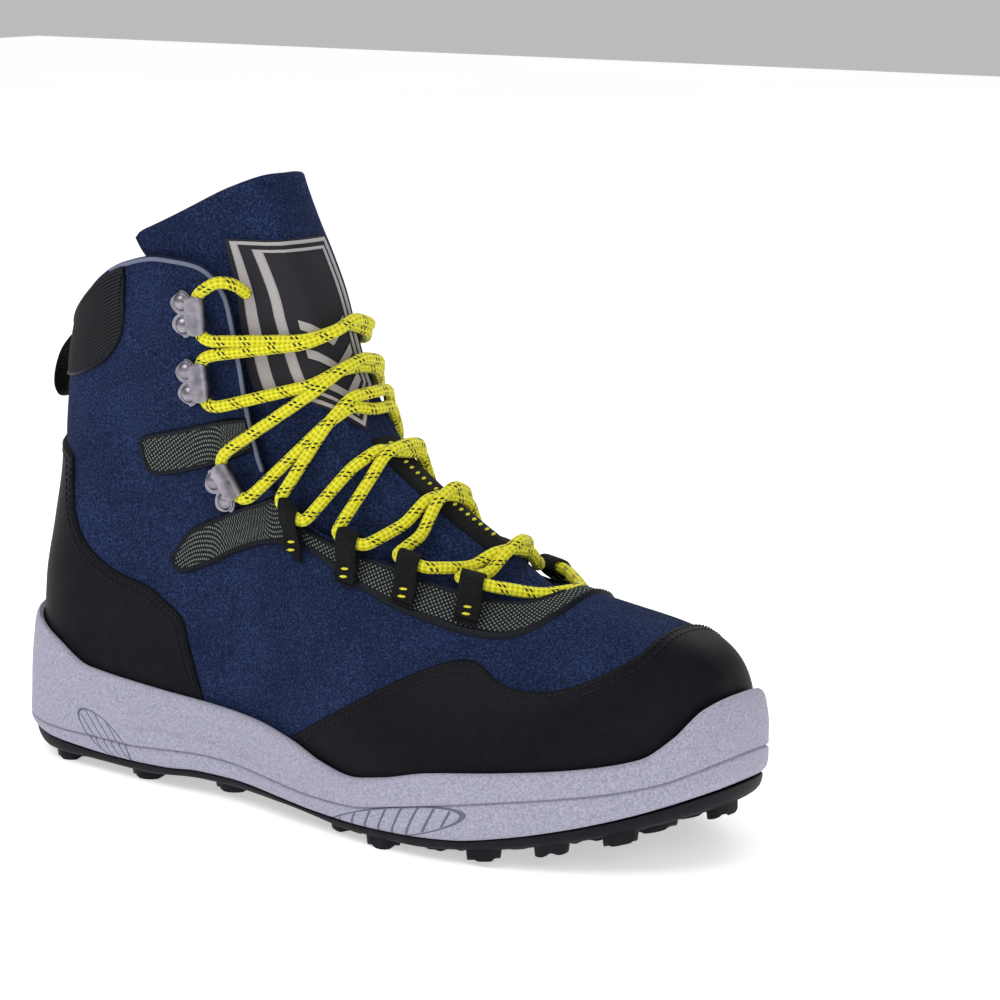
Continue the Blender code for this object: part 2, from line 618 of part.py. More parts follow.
def clear_of_plate(x, y, room):
    dx, dy = x - PLATE_AT[0], y - PLATE_AT[1]
    along = dx * math.cos(PLATE_TURN) + dy * math.sin(PLATE_TURN)
    across = -dx * math.sin(PLATE_TURN) + dy * math.cos(PLATE_TURN)
    return abs(along) > PLATE_SIZE[0] / 2 + room or abs(across) > PLATE_SIZE[1] / 2 + room


def within_outline(x, y, room):
    side = -1 if y < smooth(CENTRE, x) else 1
    return room < x < LENGTH - room and abs(y - smooth(CENTRE, x)) < half_width(OUTLINE, side, x, -room)


def add_prism(bm, x, y, radii, turn, taper, sunk):
    """Lug from the base down to the tread's plane, its foot smaller than its root."""
    count = len(radii)
    rings = []
    for level in (0, 1):
        ring = []
        for k in range(count):
            angle = turn + 2 * math.pi * k / count
            radius = radii[k] * (taper if level else 1.0)
            px, py = x + radius * math.cos(angle), y + radius * math.sin(angle)
            base = smooth(UNDERSIDE, px)
            ring.append(bm.verts.new((px, py, base + sunk if level == 0 else base - LUG_HEIGHT)))
        rings.append(ring)
    for k in range(count):
        n = (k + 1) % count
        bm.faces.new((rings[1][k], rings[1][n], rings[0][n], rings[0][k]))
    bm.faces.new(rings[0])
    bm.faces.new(list(reversed(rings[1])))


bm = bmesh.new()
for row in range(15):
    lug_x = 9.0 + row * LUG_PITCH_X
    for col in range(-3, 4):
        lug_y = (col + 0.5 * (row % 2)) * LUG_PITCH_Y + smooth(CENTRE, lug_x)
        if within_outline(lug_x, lug_y, 3.0) and clear_of_plate(lug_x, lug_y, LUG_RADIUS + 0.6):
            lobes = [LUG_RADIUS, LUG_RADIUS * 0.80] * 3
            add_prism(bm, lug_x, lug_y, lobes, math.pi * (row % 2), 0.86, 0.8)
lugs = add_object("lugs", bm, RUBBER, 0)
lugs.hide_render = True
lugs.display_type = 'WIRE'
trim = slab("lug_outline", 0.9, lambda x: -20.0, lambda x: 45.0, None)
trim.hide_render = True
trim.display_type = 'WIRE'
cut(lugs, trim, 'INTERSECT')
cut(outsole, lugs, 'UNION')

bm = bmesh.new()
bmesh.ops.create_cube(bm, size=1.0)
bmesh.ops.scale(bm, vec=PLATE_SIZE, verts=bm.verts)
bmesh.ops.rotate(bm, matrix=Matrix.Rotation(PLATE_TURN, 3, 'Z'), verts=bm.verts)
bmesh.ops.translate(bm, verts=bm.verts,
                    vec=(PLATE_AT[0], PLATE_AT[1], smooth(UNDERSIDE, PLATE_AT[0]) - GAP - PLATE_SIZE[2] / 2))
add_object("sole_plate", bm, PLATE, 30)

# Tongue: follows the upper's form, rising from under its wall at the wings to the open middle
TONGUE_THICK = 3.2
TONGUE_ROWS = 14
TONGUE_HALF = 6


def tongue_start(length):
    wing_x, wing_z = smooth(TONGUE, length, 3), smooth(TONGUE, length, 5)
    shaft = ease(wing_z, 0.38 * HEIGHT, 0.66 * HEIGHT)
    return Vector((wing_x - 0.1 * LENGTH * shaft, smooth(CENTRE, wing_x), wing_z - 0.185 * HEIGHT * (1 - shaft)))


def tongue_point(length, across, lift=0.0):
    """Point on the tongue's outer face: length 0 toe end to 1 top, across -1 outer to 1 inner wing."""
    start = tongue_start(length)
    middle = Vector((smooth(TONGUE, length, 1), start.y, smooth(TONGUE, length, 2)))
    wing = Vector((smooth(TONGUE, length, 3), start.y + math.copysign(smooth(TONGUE, length, 4), across),
                   smooth(TONGUE, length, 5)))
    angle = abs(across) * math.pi / 2
    middle.z += 1.5 * ease(length, 0.85, 1.0)
    guess = start + (middle - start) * math.cos(angle) + (wing - start) * math.sin(angle)
    guess.z += 5 * math.sin(2 * angle) * ease(length, 0.8, 1.0)
    low, high = 0.2, 2.4
    for _ in range(24):
        centre = (low + high) / 2
        if inside(start + (guess - start) * centre):
            low = centre
        else:
            high = centre
    point = start + (guess - start) * low
    sunk = WALL + 2.6 + (COLLAR_WALL - WALL + 2.4) * ease(point.z, 0.42 * HEIGHT, 0.66 * HEIGHT)
    shaft = ease(length, 0.45, 0.65)
    under = max(ease(abs(across), 0.16 + 0.14 * shaft, 0.50 + 0.10 * shaft), 1 - ease(length, 0.03, 0.16))
    return point - (guess - start).normalized() * (sunk * under + 0.3 - lift)


def tongue_patch(lengths, width_at, columns, low, high):
    """Two grids over the tongue between two heights above its face."""
    grids = []
    for lift in (high, low):
        grid = []
        for k in range(columns + 1):
            share = k / columns * 2 - 1
            grid.append([tongue_point(length, share * width_at(length), lift) for length in lengths])
        grids.append(grid)
    return grids


def even(low, high, count):
    return [low + (high - low) * i / count for i in range(count + 1)]


outer_grid, inner_side = tongue_patch(even(0, 1, TONGUE_ROWS), lambda length: 1.0, 2 * TONGUE_HALF, -TONGUE_THICK, 0.0)
add_object("tongue", shell_mesh(inner_side, outer_grid, False), NAVY, 50)

# Badge on the tongue, a shield seen from the front: half width, z
BADGE = sized([
    (0.195, 0.906), (0.203, 0.800), (0.205, 0.665), (0.187, 0.647), (0.0, 0.600),
], BALL_WIDTH, HEIGHT)
out_side, in_side = tongue_patch(even(0, 1, TONGUE_ROWS), lambda length: 1.0, 2 * TONGUE_HALF, GAP, GAP + 1.3)
badge = add_object("tongue_badge", shell_mesh(in_side, out_side, False), BLACK, 40)
outline = [(-y, z) for y, z in BADGE] + [(y, z) for y, z in reversed(BADGE[:-1])]
bm = bmesh.new()
near = [bm.verts.new((0.352 * LENGTH, y + smooth(CENTRE, 0.4 * LENGTH), z)) for y, z in outline]
far = [bm.verts.new((0.66 * LENGTH, y + smooth(CENTRE, 0.4 * LENGTH), z)) for y, z in outline]
bm.faces.new(near)
bm.faces.new(list(reversed(far)))
for i in range(len(outline)):
    k = (i + 1) % len(outline)
    bm.faces.new((near[k], near[i], far[i], far[k]))
shield = add_object("outline_badge", bm, None, 0)
shield.hide_render = True
shield.display_type = 'WIRE'
cut(badge, shield, 'INTERSECT')
out_side, in_side = tongue_patch(even(0.15, 0.455, 7), lambda length: 0.13, 2, 0.9, 1.9)
add_object("lace_keeper", shell_mesh(in_side, out_side, False), WEBBING, 40)


# Lace loops: webbing folded into an eye beyond the throat's edge, its two ends stitched on the eyestay
LOOP_WIDTH, LOOP_THICK = 9.0, 1.0
LOOP_LOW = GAP + OVERLAY + GAP + 0.9
# Fold of the webbing: distance from the throat's edge (negative beyond it), height above the upper
LOOP_FOLD = [(13.5, 0.0), (8.0, 0.0), (3.0, 0.1), (-1.0, 0.0), (-4.6, -0.9), (-7.6, 1.2), (-7.9, 4.2),
             (-5.2, 6.4), (-1.6, 5.6), (1.4, 3.2), (4.5, 1.75), (8.5, 1.6), (12.5, 1.6)]


def edge_share(side, x):
    """Share of the column whose top lies at x along the throat."""
    low, high = 0.45, 0.85
    for _ in range(24):
        middle = (low + high) / 2
        if upper_point(side, middle, 1.0).x < x:
            low = middle
        else:
            high = middle
    return low


def throat_frame(side, x):
    """Edge point, outward normal, direction down the flank and direction along the throat."""
    share = edge_share(side, x)
    top = upper_point(side, share, 1.0)
    lower = upper_point(side, share, 0.93)
    along = (upper_point(side, share + 0.01, 1.0) - upper_point(side, share - 0.01, 1.0)).normalized()
    down = (lower - top).normalized()
    normal = along.cross(down).normalized()
    if normal.z < 0:
        normal.negate()
    return share, top, normal, down, along


def ribbon(name, centres, normals, widths, half, thick, material, smooth_angle=40):
    """Strap along a path: half width along its width directions, thickness along its normals."""
    outer, inner = [], []
    for sign in (-1, 1):
        outer.append([c + w * (sign * half) + n * thick / 2 for c, n, w in zip(centres, normals, widths)])
        inner.append([c + w * (sign * half) - n * thick / 2 for c, n, w in zip(centres, normals, widths)])
    return add_object(name, shell_mesh(outer, inner, False), material, smooth_angle)


def path_normals(centres, width):
    """Normals of a path in the plane across a fixed width direction."""
    normals = []
    for i in range(len(centres)):
        run = centres[min(i + 1, len(centres) - 1)] - centres[max(i - 1, 0)]
        normals.append(run.cross(width).normalized())
    return normals


LOOP_EYES = {}


def lace_loop(side, number, x):
    share, top, normal, down, along = throat_frame(side, x)
    column = column_table(side, share)[-1][0]
    centres = []
    for distance, height in LOOP_FOLD:
        if distance > 0:
            base = upper_point(side, share, 1 - distance / column)
        else:
            base = top + down * distance
        centres.append(base + normal * (LOOP_LOW + height))
    name = "lace_loop_%d_%s" % (number, "lateral" if side < 0 else "medial")
    ribbon(name, centres, path_normals(centres, along), [along] * len(centres), LOOP_WIDTH / 2, LOOP_THICK, WEBBING)
    LOOP_EYES[(side, number)] = top - down * 8.6 + normal * (LOOP_LOW + 2.4)


for number, x in LOOPS_OUTER:
    lace_loop(-1, number, x)
for number, x in LOOPS_INNER:
    lace_loop(1, number, x)

# Hooks: a riveted plate whose neck curls over into a lip, on each side of the shaft
HOOK_THICK = 1.2
# Height of each plate's middle over the upper, so that its ends rest on what lies below it
HOOK_STANDS = {(-1, 1): 0.95, (1, 1): 0.95, (-1, 2): 1.15, (1, 2): 1.15, (-1, 3): 3.6, (1, 3): 4.1}
RIVET_PROFILE = [(3.5, 0.0), (3.3, 0.9), (1.9, 1.8)]
HOOK_THROATS = {}


def shaft_frame(side, x, z, tilt):
    """Point on the shaft seen from the side, its normal, and the directions along and up, turned by the tilt."""
    def at(px, pz):
        return Vector((px, smooth(CENTRE, px) + side * upper_half_width(side, px, pz), pz))
    point = at(x, z)
    ahead = (at(x + 6, z) - at(x - 6, z)).normalized()
    up = (at(x, z + 6) - at(x, z - 6)).normalized()
    normal = ahead.cross(up).normalized() * -side
    ahead = (ahead - normal * ahead.dot(normal)).normalized()
    up = normal.cross(ahead) * -side
    turn = math.radians(tilt)
    return (point, normal, ahead * math.cos(turn) + up * math.sin(turn), up * math.cos(turn) - ahead * math.sin(turn))


def hook(side, number, x, z, tilt):
    point, normal, ahead, up = shaft_frame(side, x, z, tilt)
    if normal.y * side < 0:
        normal.negate()
    stand = HOOK_STANDS[(side, number)]
    label = "lateral" if side < 0 else "medial"
    centres = [point + ahead * reach + normal * (stand + out) for _, _, out, reach in HOOK_SHEET]
    normals = path_normals(centres, up)
    if normals[0].dot(normal) < 0:
        normals = [-n for n in normals]
    outer, inner = [], []
    for k in (-1.0, 0.0, 1.0):
        outer.append([c + up * (k * row[1]) + n * HOOK_THICK / 2 for c, n, row in zip(centres, normals, HOOK_SHEET)])
        inner.append([c + up * (k * row[1]) - n * HOOK_THICK / 2 for c, n, row in zip(centres, normals, HOOK_SHEET)])
    add_object("hook_%d_%s" % (number, label), shell_mesh(outer, inner, False), METAL, 50)
    for index, place_up in ((1, 4.3), (2, -4.3)):
        centre = point - ahead * 6.2 + up * place_up + normal * (stand + HOOK_THICK / 2 + 0.3)
        bm = bmesh.new()
        rings = []
        for radius, height in RIVET_PROFILE:
            rings.append([bm.verts.new(centre + normal * height
                                       + (ahead * math.cos(k * math.pi / 4) + up * math.sin(k * math.pi / 4)) * radius)
                          for k in range(8)])
        for low, high in zip(rings, rings[1:]):
            for k in range(8):
                n = (k + 1) % 8
                bm.faces.new((low[k], low[n], high[n], high[k]))
        bm.faces.new(rings[-1])
        bm.faces.new(list(reversed(rings[0])))
        add_object("hook_%d_rivet_%d_%s" % (number, index, label), bm, METAL, 50)
    for part, sign in (("upper", 1), ("lower", -1)):
        HOOK_THROATS[(side, number, part)] = point + ahead * 4.5 + normal * (stand + 4.0) + up * (sign * 9.0)


for number, x, z, tilt in HOOKS:
    hook(-1, number, x, z, tilt)
    hook(1, number, x + 2, z + 1, tilt)

# Pull loop: webbing folded at the back of the collar, side view: x, z
PULL_LOOP = sized([
    (0.0393, 0.7115), (0.0262, 0.7048), (0.0052, 0.6762), (-0.0059, 0.6432), (-0.0085, 0.6145),
    (-0.0013, 0.5982), (0.0105, 0.6009), (0.0184, 0.6233), (0.0282, 0.6586),
], LENGTH, HEIGHT)
centres = [Vector((x, smooth(CENTRE, x), z)) for x, z in PULL_LOOP]
across = Vector((0, 1, 0))
ribbon("pull_loop", centres, path_normals(centres, across), [across] * len(centres), 7.5, 1.2, WEBBING)

# Lace: one straight bar at the toe end, then crossings up to the top hooks
LACE_SIDES = 6
LACE_CLEAR = 1.2


def nearest_length(point, across):
    """Share of the tongue's length that lies nearest to a point beside it."""
    best = min(range(61), key=lambda i: (tongue_point(i / 60, across) - point).length)
    return best / 60


def curve_through(knots, steps):
    """Points along a smooth curve through the knots."""
    points = []
    for i in range(len(knots) - 1):
        a, b, c, d = knots[max(i - 1, 0)], knots[i], knots[i + 1], knots[min(i + 2, len(knots) - 1)]
        for k in range(steps):
            u = k / steps
            points.append(((b * 2) + (c - a) * u + (a * 2 - b * 5 + c * 4 - d) * u * u
                           + (b * 3 - a - c * 3 + d) * u * u * u) / 2)
    points.append(knots[-1])
    return points


def lace_path(start, end, rise):
    """Path from the outer end to the inner end, resting on the middle of the tongue."""
    low = nearest_length(start, -0.85)
    high = nearest_length(end, 0.85)
    knots = [start]
    for across in (-0.42, -0.2, 0.0, 0.2, 0.42):
        share = 0.5 + across / 1.7
        knots.append(tongue_point(low + (high - low) * share, across, rise))
    return curve_through(knots + [end], 2)


def tube(bm, path, radius):
    """Round bar along a path, its section carried without twist."""
    normal = None
    rings = []
    for i, point in enumerate(path):
        run = (path[min(i + 1, len(path) - 1)] - path[max(i - 1, 0)]).normalized()
        if normal is None:
            normal = run.orthogonal().normalized()
        normal = (normal - run * normal.dot(run)).normalized()
        other = run.cross(normal)
        rings.append([bm.verts.new(point + normal * (radius * math.cos(2 * math.pi * k / LACE_SIDES))
                                   + other * (radius * math.sin(2 * math.pi * k / LACE_SIDES)))
                      for k in range(LACE_SIDES)])
    for low, high in zip(rings, rings[1:]):
        for k in range(LACE_SIDES):
            n = (k + 1) % LACE_SIDES
            bm.faces.new((low[k], low[n], high[n], high[k]))
    bm.faces.new(list(reversed(rings[0])))
    bm.faces.new(rings[-1])


def lace_end(side, kind, number, towards):
    """Place where a crossing starts, a little inside from its loop or hook."""
    eye = LOOP_EYES[(side, number)] if kind == "loop" else HOOK_THROATS[(side, number, towards)]
    return eye


def lace_piece(name, ends, rise=5.7):
    """One bar, or two crossing bars joined in the middle."""
    objects = []
    for index, (start, end) in enumerate(ends):
        whole = lace_path(start, end, rise)
        path = whole[2:-2] if len(ends) == 2 else whole[1:-1]
        bm = bmesh.new()
        tube(bm, path, LACE / 2)
        objects.append(add_object(name if index == 0 else name + "_second", bm, YELLOW, 70))
    if len(objects) == 2:
        objects[1].hide_render = True
        objects[1].display_type = 'WIRE'
        cut(objects[0], objects[1], 'UNION')


lace_piece("lace_bar", [(lace_end(-1, "loop", 4, ""), lace_end(1, "loop", 4, ""))])
for number, lower in ((1, 4), (2, 3), (3, 2)):
    lace_piece("lace_cross_%d" % number,
               [(lace_end(-1, "loop", lower, ""), lace_end(1, "loop", lower - 1, "")),
                (lace_end(-1, "loop", lower - 1, ""), lace_end(1, "loop", lower, ""))])
lace_piece("lace_cross_4", [(lace_end(-1, "loop", 1, ""), lace_end(1, "hook", 3, "lower")),
                            (lace_end(-1, "hook", 3, "lower"), lace_end(1, "loop", 1, ""))], 7.2)
for number, lower in ((5, 3), (6, 2)):
    lace_piece("lace_cross_%d" % number,
               [(lace_end(-1, "hook", lower, "upper"), lace_end(1, "hook", lower - 1, "lower")),
                (lace_end(-1, "hook", lower - 1, "lower"), lace_end(1, "hook", lower, "upper"))], 7.6)
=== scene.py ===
# %% [markdown]
# # A laced wading boot
# The boot is a right one: a textile upper sewn over a tongue, sunk into a foam cup midsole with a lugged
# rubber outsole. The plain solids of the part are loaded first as a fixed frame, and each soft piece is
# then modelled again, with its cloth, stitches and lace, in the place that its solid holds.

# %% The frame
import json
import math

import bmesh
import bpy
import numpy as np
from mathutils import Matrix, Vector
from mathutils.bvhtree import BVHTree

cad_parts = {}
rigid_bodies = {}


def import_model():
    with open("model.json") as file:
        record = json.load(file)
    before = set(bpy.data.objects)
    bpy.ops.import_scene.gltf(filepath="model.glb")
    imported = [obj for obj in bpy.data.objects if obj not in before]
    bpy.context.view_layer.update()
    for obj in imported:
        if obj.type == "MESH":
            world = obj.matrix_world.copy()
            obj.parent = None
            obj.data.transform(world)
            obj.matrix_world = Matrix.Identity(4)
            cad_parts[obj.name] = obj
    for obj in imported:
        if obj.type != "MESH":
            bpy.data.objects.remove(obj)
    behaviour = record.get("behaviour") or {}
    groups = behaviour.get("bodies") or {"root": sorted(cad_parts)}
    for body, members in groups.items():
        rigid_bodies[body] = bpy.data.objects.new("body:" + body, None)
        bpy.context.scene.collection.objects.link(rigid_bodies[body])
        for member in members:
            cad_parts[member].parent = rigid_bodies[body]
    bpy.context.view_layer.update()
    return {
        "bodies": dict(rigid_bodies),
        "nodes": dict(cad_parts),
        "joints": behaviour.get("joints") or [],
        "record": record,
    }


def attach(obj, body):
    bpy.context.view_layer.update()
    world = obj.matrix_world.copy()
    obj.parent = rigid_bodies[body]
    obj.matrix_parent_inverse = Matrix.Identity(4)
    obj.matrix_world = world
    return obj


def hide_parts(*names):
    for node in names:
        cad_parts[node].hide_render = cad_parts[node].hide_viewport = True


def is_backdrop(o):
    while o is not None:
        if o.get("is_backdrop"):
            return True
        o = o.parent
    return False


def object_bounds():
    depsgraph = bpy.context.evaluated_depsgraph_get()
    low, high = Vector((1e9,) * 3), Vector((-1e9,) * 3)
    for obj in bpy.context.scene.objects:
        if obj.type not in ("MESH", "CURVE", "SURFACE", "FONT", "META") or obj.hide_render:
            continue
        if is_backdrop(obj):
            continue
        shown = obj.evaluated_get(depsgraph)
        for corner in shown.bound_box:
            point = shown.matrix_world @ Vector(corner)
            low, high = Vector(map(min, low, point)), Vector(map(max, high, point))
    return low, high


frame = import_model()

# %% [markdown]
# ## Camera and light
# The boot is seen from the front of its outer side, a little from above. It stands on a plain pale floor in
# soft studio light: one large lamp above on the left, a second on the right, and a bright pale surround.

# %% Camera, lamps and floor
AZIMUTH, ELEVATION, DISTANCE = math.radians(38), math.radians(11.65), 1.2
right = Vector((math.cos(AZIMUTH), math.sin(AZIMUTH), 0))
back = Vector((math.sin(AZIMUTH) * math.cos(ELEVATION), -math.cos(AZIMUTH) * math.cos(ELEVATION),
               math.sin(ELEVATION)))
up = back.cross(right)
lens = bpy.data.cameras.new("camera")
lens.sensor_width, lens.lens = 36.0, 117.713
lens.shift_x, lens.shift_y = 0.1264, 0.0423
lens.clip_start, lens.clip_end = 0.01, 50
camera = bpy.data.objects.new("camera", lens)
camera.matrix_world = Matrix((right, up, back)).transposed().to_4x4()
camera.location = Vector((0.00065, -0.002, 0.095)) + back * DISTANCE
bpy.context.scene.collection.objects.link(camera)
bpy.context.scene.camera = camera


def add_lamp(name, place, aim, size, power):
    """Square area lamp that looks at a point."""
    lamp = bpy.data.lights.new(name, 'AREA')
    lamp.size, lamp.energy = size, power
    obj = bpy.data.objects.new(name, lamp)
    obj.location = place
    obj.rotation_euler = (Vector(aim) - Vector(place)).to_track_quat('-Z', 'Y').to_euler()
    bpy.context.scene.collection.objects.link(obj)


add_lamp("key", (-0.5, -1.1, 1.5), (0, 0, 0.08), 1.1, 13)
add_lamp("fill", (1.5, -0.9, 0.8), (0, 0, 0.08), 1.2, 7)
add_lamp("rim", (-0.2, 1.3, 1.2), (0, 0, 0.1), 1.0, 7)
world = bpy.data.worlds.new("surround")
world.use_nodes = True
world.node_tree.nodes["Background"].inputs["Color"].default_value = (1, 1, 1, 1)
world.node_tree.nodes["Background"].inputs["Strength"].default_value = 0.5
bpy.context.scene.world = world
bpy.context.scene.view_settings.view_transform = 'Standard'

# %% [markdown]
# ## Colour and nodes
# Colours are written as sRGB hex, as a colour picker shows them, and one function turns them to the linear
# values that the shader needs. One more function adds a node with its settings and links.

# %% Helpers for materials


def srgb(code):
    """Linear colour of an sRGB hex value."""
    values = [int(code[k:k + 2], 16) / 255 for k in (1, 3, 5)]
    return (*(v / 12.92 if v <= 0.04045 else ((v + 0.055) / 1.055) ** 2.4 for v in values), 1.0)


def add_node(tree, kind, inputs=None, **settings):
    """Node with its properties, socket values and links."""
    made = tree.nodes.new(kind)
    for name, value in settings.items():
        setattr(made, name, value)
    for socket, value in (inputs or {}).items():
        if isinstance(value, bpy.types.NodeSocket):
            tree.links.new(value, made.inputs[socket])
        else:
            made.inputs[socket].default_value = value
    return made


def start_material(name, colour, roughness, metallic=0.0, **sockets):
    """Material with one Principled shader, its tree and the shader."""
    made = bpy.data.materials.new(name)
    made.use_nodes = True
    shader = made.node_tree.nodes["Principled BSDF"]
    shader.inputs["Base Color"].default_value = srgb(colour)
    shader.inputs["Roughness"].default_value = roughness
    shader.inputs["Metallic"].default_value = metallic
    shader.inputs["Specular IOR Level"].default_value = 0.15
    for socket, value in sockets.items():
        shader.inputs[socket.replace("_", " ")].default_value = value
    made.diffuse_color = srgb(colour)
    return made, made.node_tree, shader


def noise(tree, size_mm, detail=2.0, vector=None):
    """Noise whose grains are about a size in millimetres."""
    if vector is None:
        vector = add_node(tree, "ShaderNodeTexCoord").outputs["Object"]
    made = add_node(tree, "ShaderNodeTexNoise", {"Vector": vector, "Scale": 1000.0 / size_mm, "Detail": detail})
    return made.outputs["Fac"]


def ramp(tree, factor, *stops):
    """Colour ramp through stops of place and hex colour."""
    made = add_node(tree, "ShaderNodeValToRGB", {"Fac": factor})
    line = made.color_ramp
    for k, (place, code) in enumerate(stops):
        stop = line.elements[k] if k < 2 else line.elements.new(place)
        stop.position, stop.color = place, srgb(code)
    return made.outputs["Color"]


def tint(tree, shader, factor, *stops):
    """Colours the shader through a ramp."""
    tree.links.new(ramp(tree, factor, *stops), shader.inputs["Base Color"])


def relief(tree, shader, height, depth_mm, strength):
    """Bump of a depth in millimetres on the shader."""
    bump = add_node(tree, "ShaderNodeBump", {"Height": height, "Distance": depth_mm / 1000, "Strength": strength})
    tree.links.new(bump.outputs["Normal"], shader.inputs["Normal"])


def maths(tree, operation, *values):
    """One step of arithmetic."""
    return add_node(tree, "ShaderNodeMath", dict(enumerate(values)), operation=operation).outputs[0]

# %% [markdown]
# ## Sizes of the boot
# The tables give the boot's outlines as shares of its length, ball width and height, in the boot's own frame:
# x runs from the back of the heel to the toe, z up from the floor. They are the ones that its solids are made from.

# %% Sizes and tables
# Named sizes, millimetres
LENGTH = 305.0            # outsole, heel to toe
BALL_WIDTH = 118.0        # outsole across the ball
HEIGHT = 227.0            # floor to the tongue's top
TOE_OVERHANG = 2.9        # midsole's bumper in front of the outsole
HEEL_OVERHANG = 4.2       # pull loop behind the outsole
ORIGIN_X = (LENGTH + TOE_OVERHANG - HEEL_OVERHANG) / 2
ORIGIN_Y = 2.0
WALL = 2.5                # upper's wall on the foot
COLLAR_WALL = 4.0         # padded wall at the collar
GAP = 0.35                # clearance between neighbouring pieces
OVERLAY = 1.0             # thickness of the overlays
TONGUE_THICK = 3.2        # padded tongue
UPPER_INSET = -1.9        # upper's outer face from the outsole's outline
HEEL_CAP = 0.131 * LENGTH  # length of the heel's rounded end
TOE_CAP_OUTER, TOE_CAP_INNER = 0.3115 * LENGTH, 0.246 * LENGTH
LACE = 4.5                # lace diameter


def sized(rows, *sizes):
    """Table rows given as shares of named sizes, turned into millimetres column by column."""
    return [tuple(value * size for value, size in zip(row, sizes)) for row in rows]


# Plan outline between its rounded ends: x, outer half width, inner half width
OUTLINE = sized([
    (0, 0.3475, 0.3475), (0.1311, 0.3475, 0.3475), (0.282, 0.3703, 0.339), (0.3607, 0.3661, 0.2924),
    (0.3934, 0.3695, 0.2712), (0.4393, 0.3898, 0.2678), (0.4918, 0.4203, 0.2915), (0.541, 0.4407, 0.3525),
    (0.623, 0.4746, 0.4407), (0.6885, 0.4831, 0.4915), (0.7541, 0.4831, 0.5169), (1, 0.4831, 0.5169),
], LENGTH, BALL_WIDTH, BALL_WIDTH)
# The same at the height where the upper is fullest
BODY = sized([
    (0, 0.3432, 0.3432), (0.1311, 0.339, 0.3305), (0.282, 0.3475, 0.3263), (0.3607, 0.3559, 0.3178),
    (0.4393, 0.3771, 0.3305), (0.541, 0.4322, 0.3898), (0.623, 0.4703, 0.4449), (0.6885, 0.4831, 0.4915),
    (0.7541, 0.4831, 0.5169), (1, 0.4831, 0.5169),
], LENGTH, BALL_WIDTH, BALL_WIDTH)
# Foot's centre line: x, y
CENTRE = sized([
    (0, 0.0254), (0.1475, 0), (0.4918, 0), (0.7705, 0.0508), (1.049, 0.0508),
], LENGTH, BALL_WIDTH)
# Inside floor of the midsole: x, z
FLOOR = sized([
    (0, 0.1101), (0.1967, 0.1057), (0.3607, 0.0859), (0.4918, 0.0661), (0.6951, 0.0573), (0.8197, 0.0705),
    (0.9344, 0.1013), (1.016, 0.1366),
], LENGTH, HEIGHT)
# Underside of the outsole's base: x, z
UNDERSIDE = sized([
    (0, 0.0419), (0.082, 0.0176), (0.2459, 0.0176), (0.3443, 0.0273), (0.4918, 0.0273), (0.6066, 0.0176),
    (0.6951, 0.0176), (0.7705, 0.0247), (0.8525, 0.0414), (0.9344, 0.0678), (1, 0.0952), (1.036, 0.1101),
], LENGTH, HEIGHT)
# Joint of outsole and midsole at the edge: x, z
SOLE_JOINT = sized([
    (0, 0.0639), (0.0492, 0.0511), (0.0951, 0.0414), (0.1934, 0.0335), (0.2918, 0.0361), (0.3443, 0.0414),
    (0.4066, 0.0414), (0.4852, 0.0379), (0.5508, 0.0326), (0.6197, 0.0317), (0.6787, 0.0335),
    (0.7541, 0.0388), (0.8197, 0.0529), (0.8787, 0.0705), (0.9246, 0.0872), (0.9672, 0.1057),
    (0.9967, 0.1207), (1.036, 0.141),
], LENGTH, HEIGHT)
# Midsole's top edge: x, z
CUP_EDGE = sized([
    (-0.0131, 0.2467), (0.0262, 0.2379), (0.0885, 0.2115), (0.1508, 0.1762), (0.2721, 0.1643),
    (0.3607, 0.1568), (0.4393, 0.1489), (0.5115, 0.1339), (0.5574, 0.1163), (0.6098, 0.1066),
    (0.6557, 0.1163), (0.7246, 0.1383), (0.8131, 0.1524), (0.8951, 0.1656), (0.9475, 0.1806),
    (0.9738, 0.2115), (0.9934, 0.2511), (1.023, 0.2819),
], LENGTH, HEIGHT)
# Back of the upper: z, x
BACK = sized([
    (0.0881, 0), (0.1982, -0.0026), (0.2952, -0.002), (0.3965, 0.0079), (0.4978, 0.0197), (0.5727, 0.0236),
    (0.6608, 0.0328), (0.7181, 0.0426), (0.837, 0.059), (1.013, 0.082),
], HEIGHT, LENGTH)
# Ridge of the upper and tongue along the middle: x, z
RIDGE = sized([
    (0, 6.167), (0.1967, 3.084), (0.2951, 1.674), (0.3279, 1.234), (0.3475, 1.093), (0.3705, 0.9956),
    (0.3934, 0.9295), (0.4164, 0.8722), (0.4361, 0.815), (0.4525, 0.7489), (0.4689, 0.6872),
    (0.4984, 0.6211), (0.541, 0.5595), (0.5902, 0.5132), (0.6426, 0.4714), (0.7115, 0.4229),
    (0.7705, 0.3943), (0.8361, 0.3767), (0.9115, 0.3551), (0.9475, 0.3366), (0.9705, 0.3154),
    (0.983, 0.289), (0.9882, 0.2555), (0.9915, 0.2115), (0.9934, 0.1586),
], LENGTH, HEIGHT)
# Narrowing of the shaft: z, share of the width at the feather edge
SHAFT = sized([
    (0.0881, 1.0), (0.185, 0.97), (0.3084, 0.9), (0.4053, 0.82), (0.5066, 0.775), (0.6608, 0.77),
    (0.837, 0.81), (1.013, 0.84),
], HEIGHT, 1)
# Roundness of the arch over the foot: x, exponent of height, exponent of width
ARCH = sized([
    (0.3279, 1.6, 1.3), (0.7049, 1.6, 1.35), (0.8197, 1.9, 1.6), (0.918, 2.3, 2.0), (1, 2.6, 2.2),
], LENGTH, 1, 1)
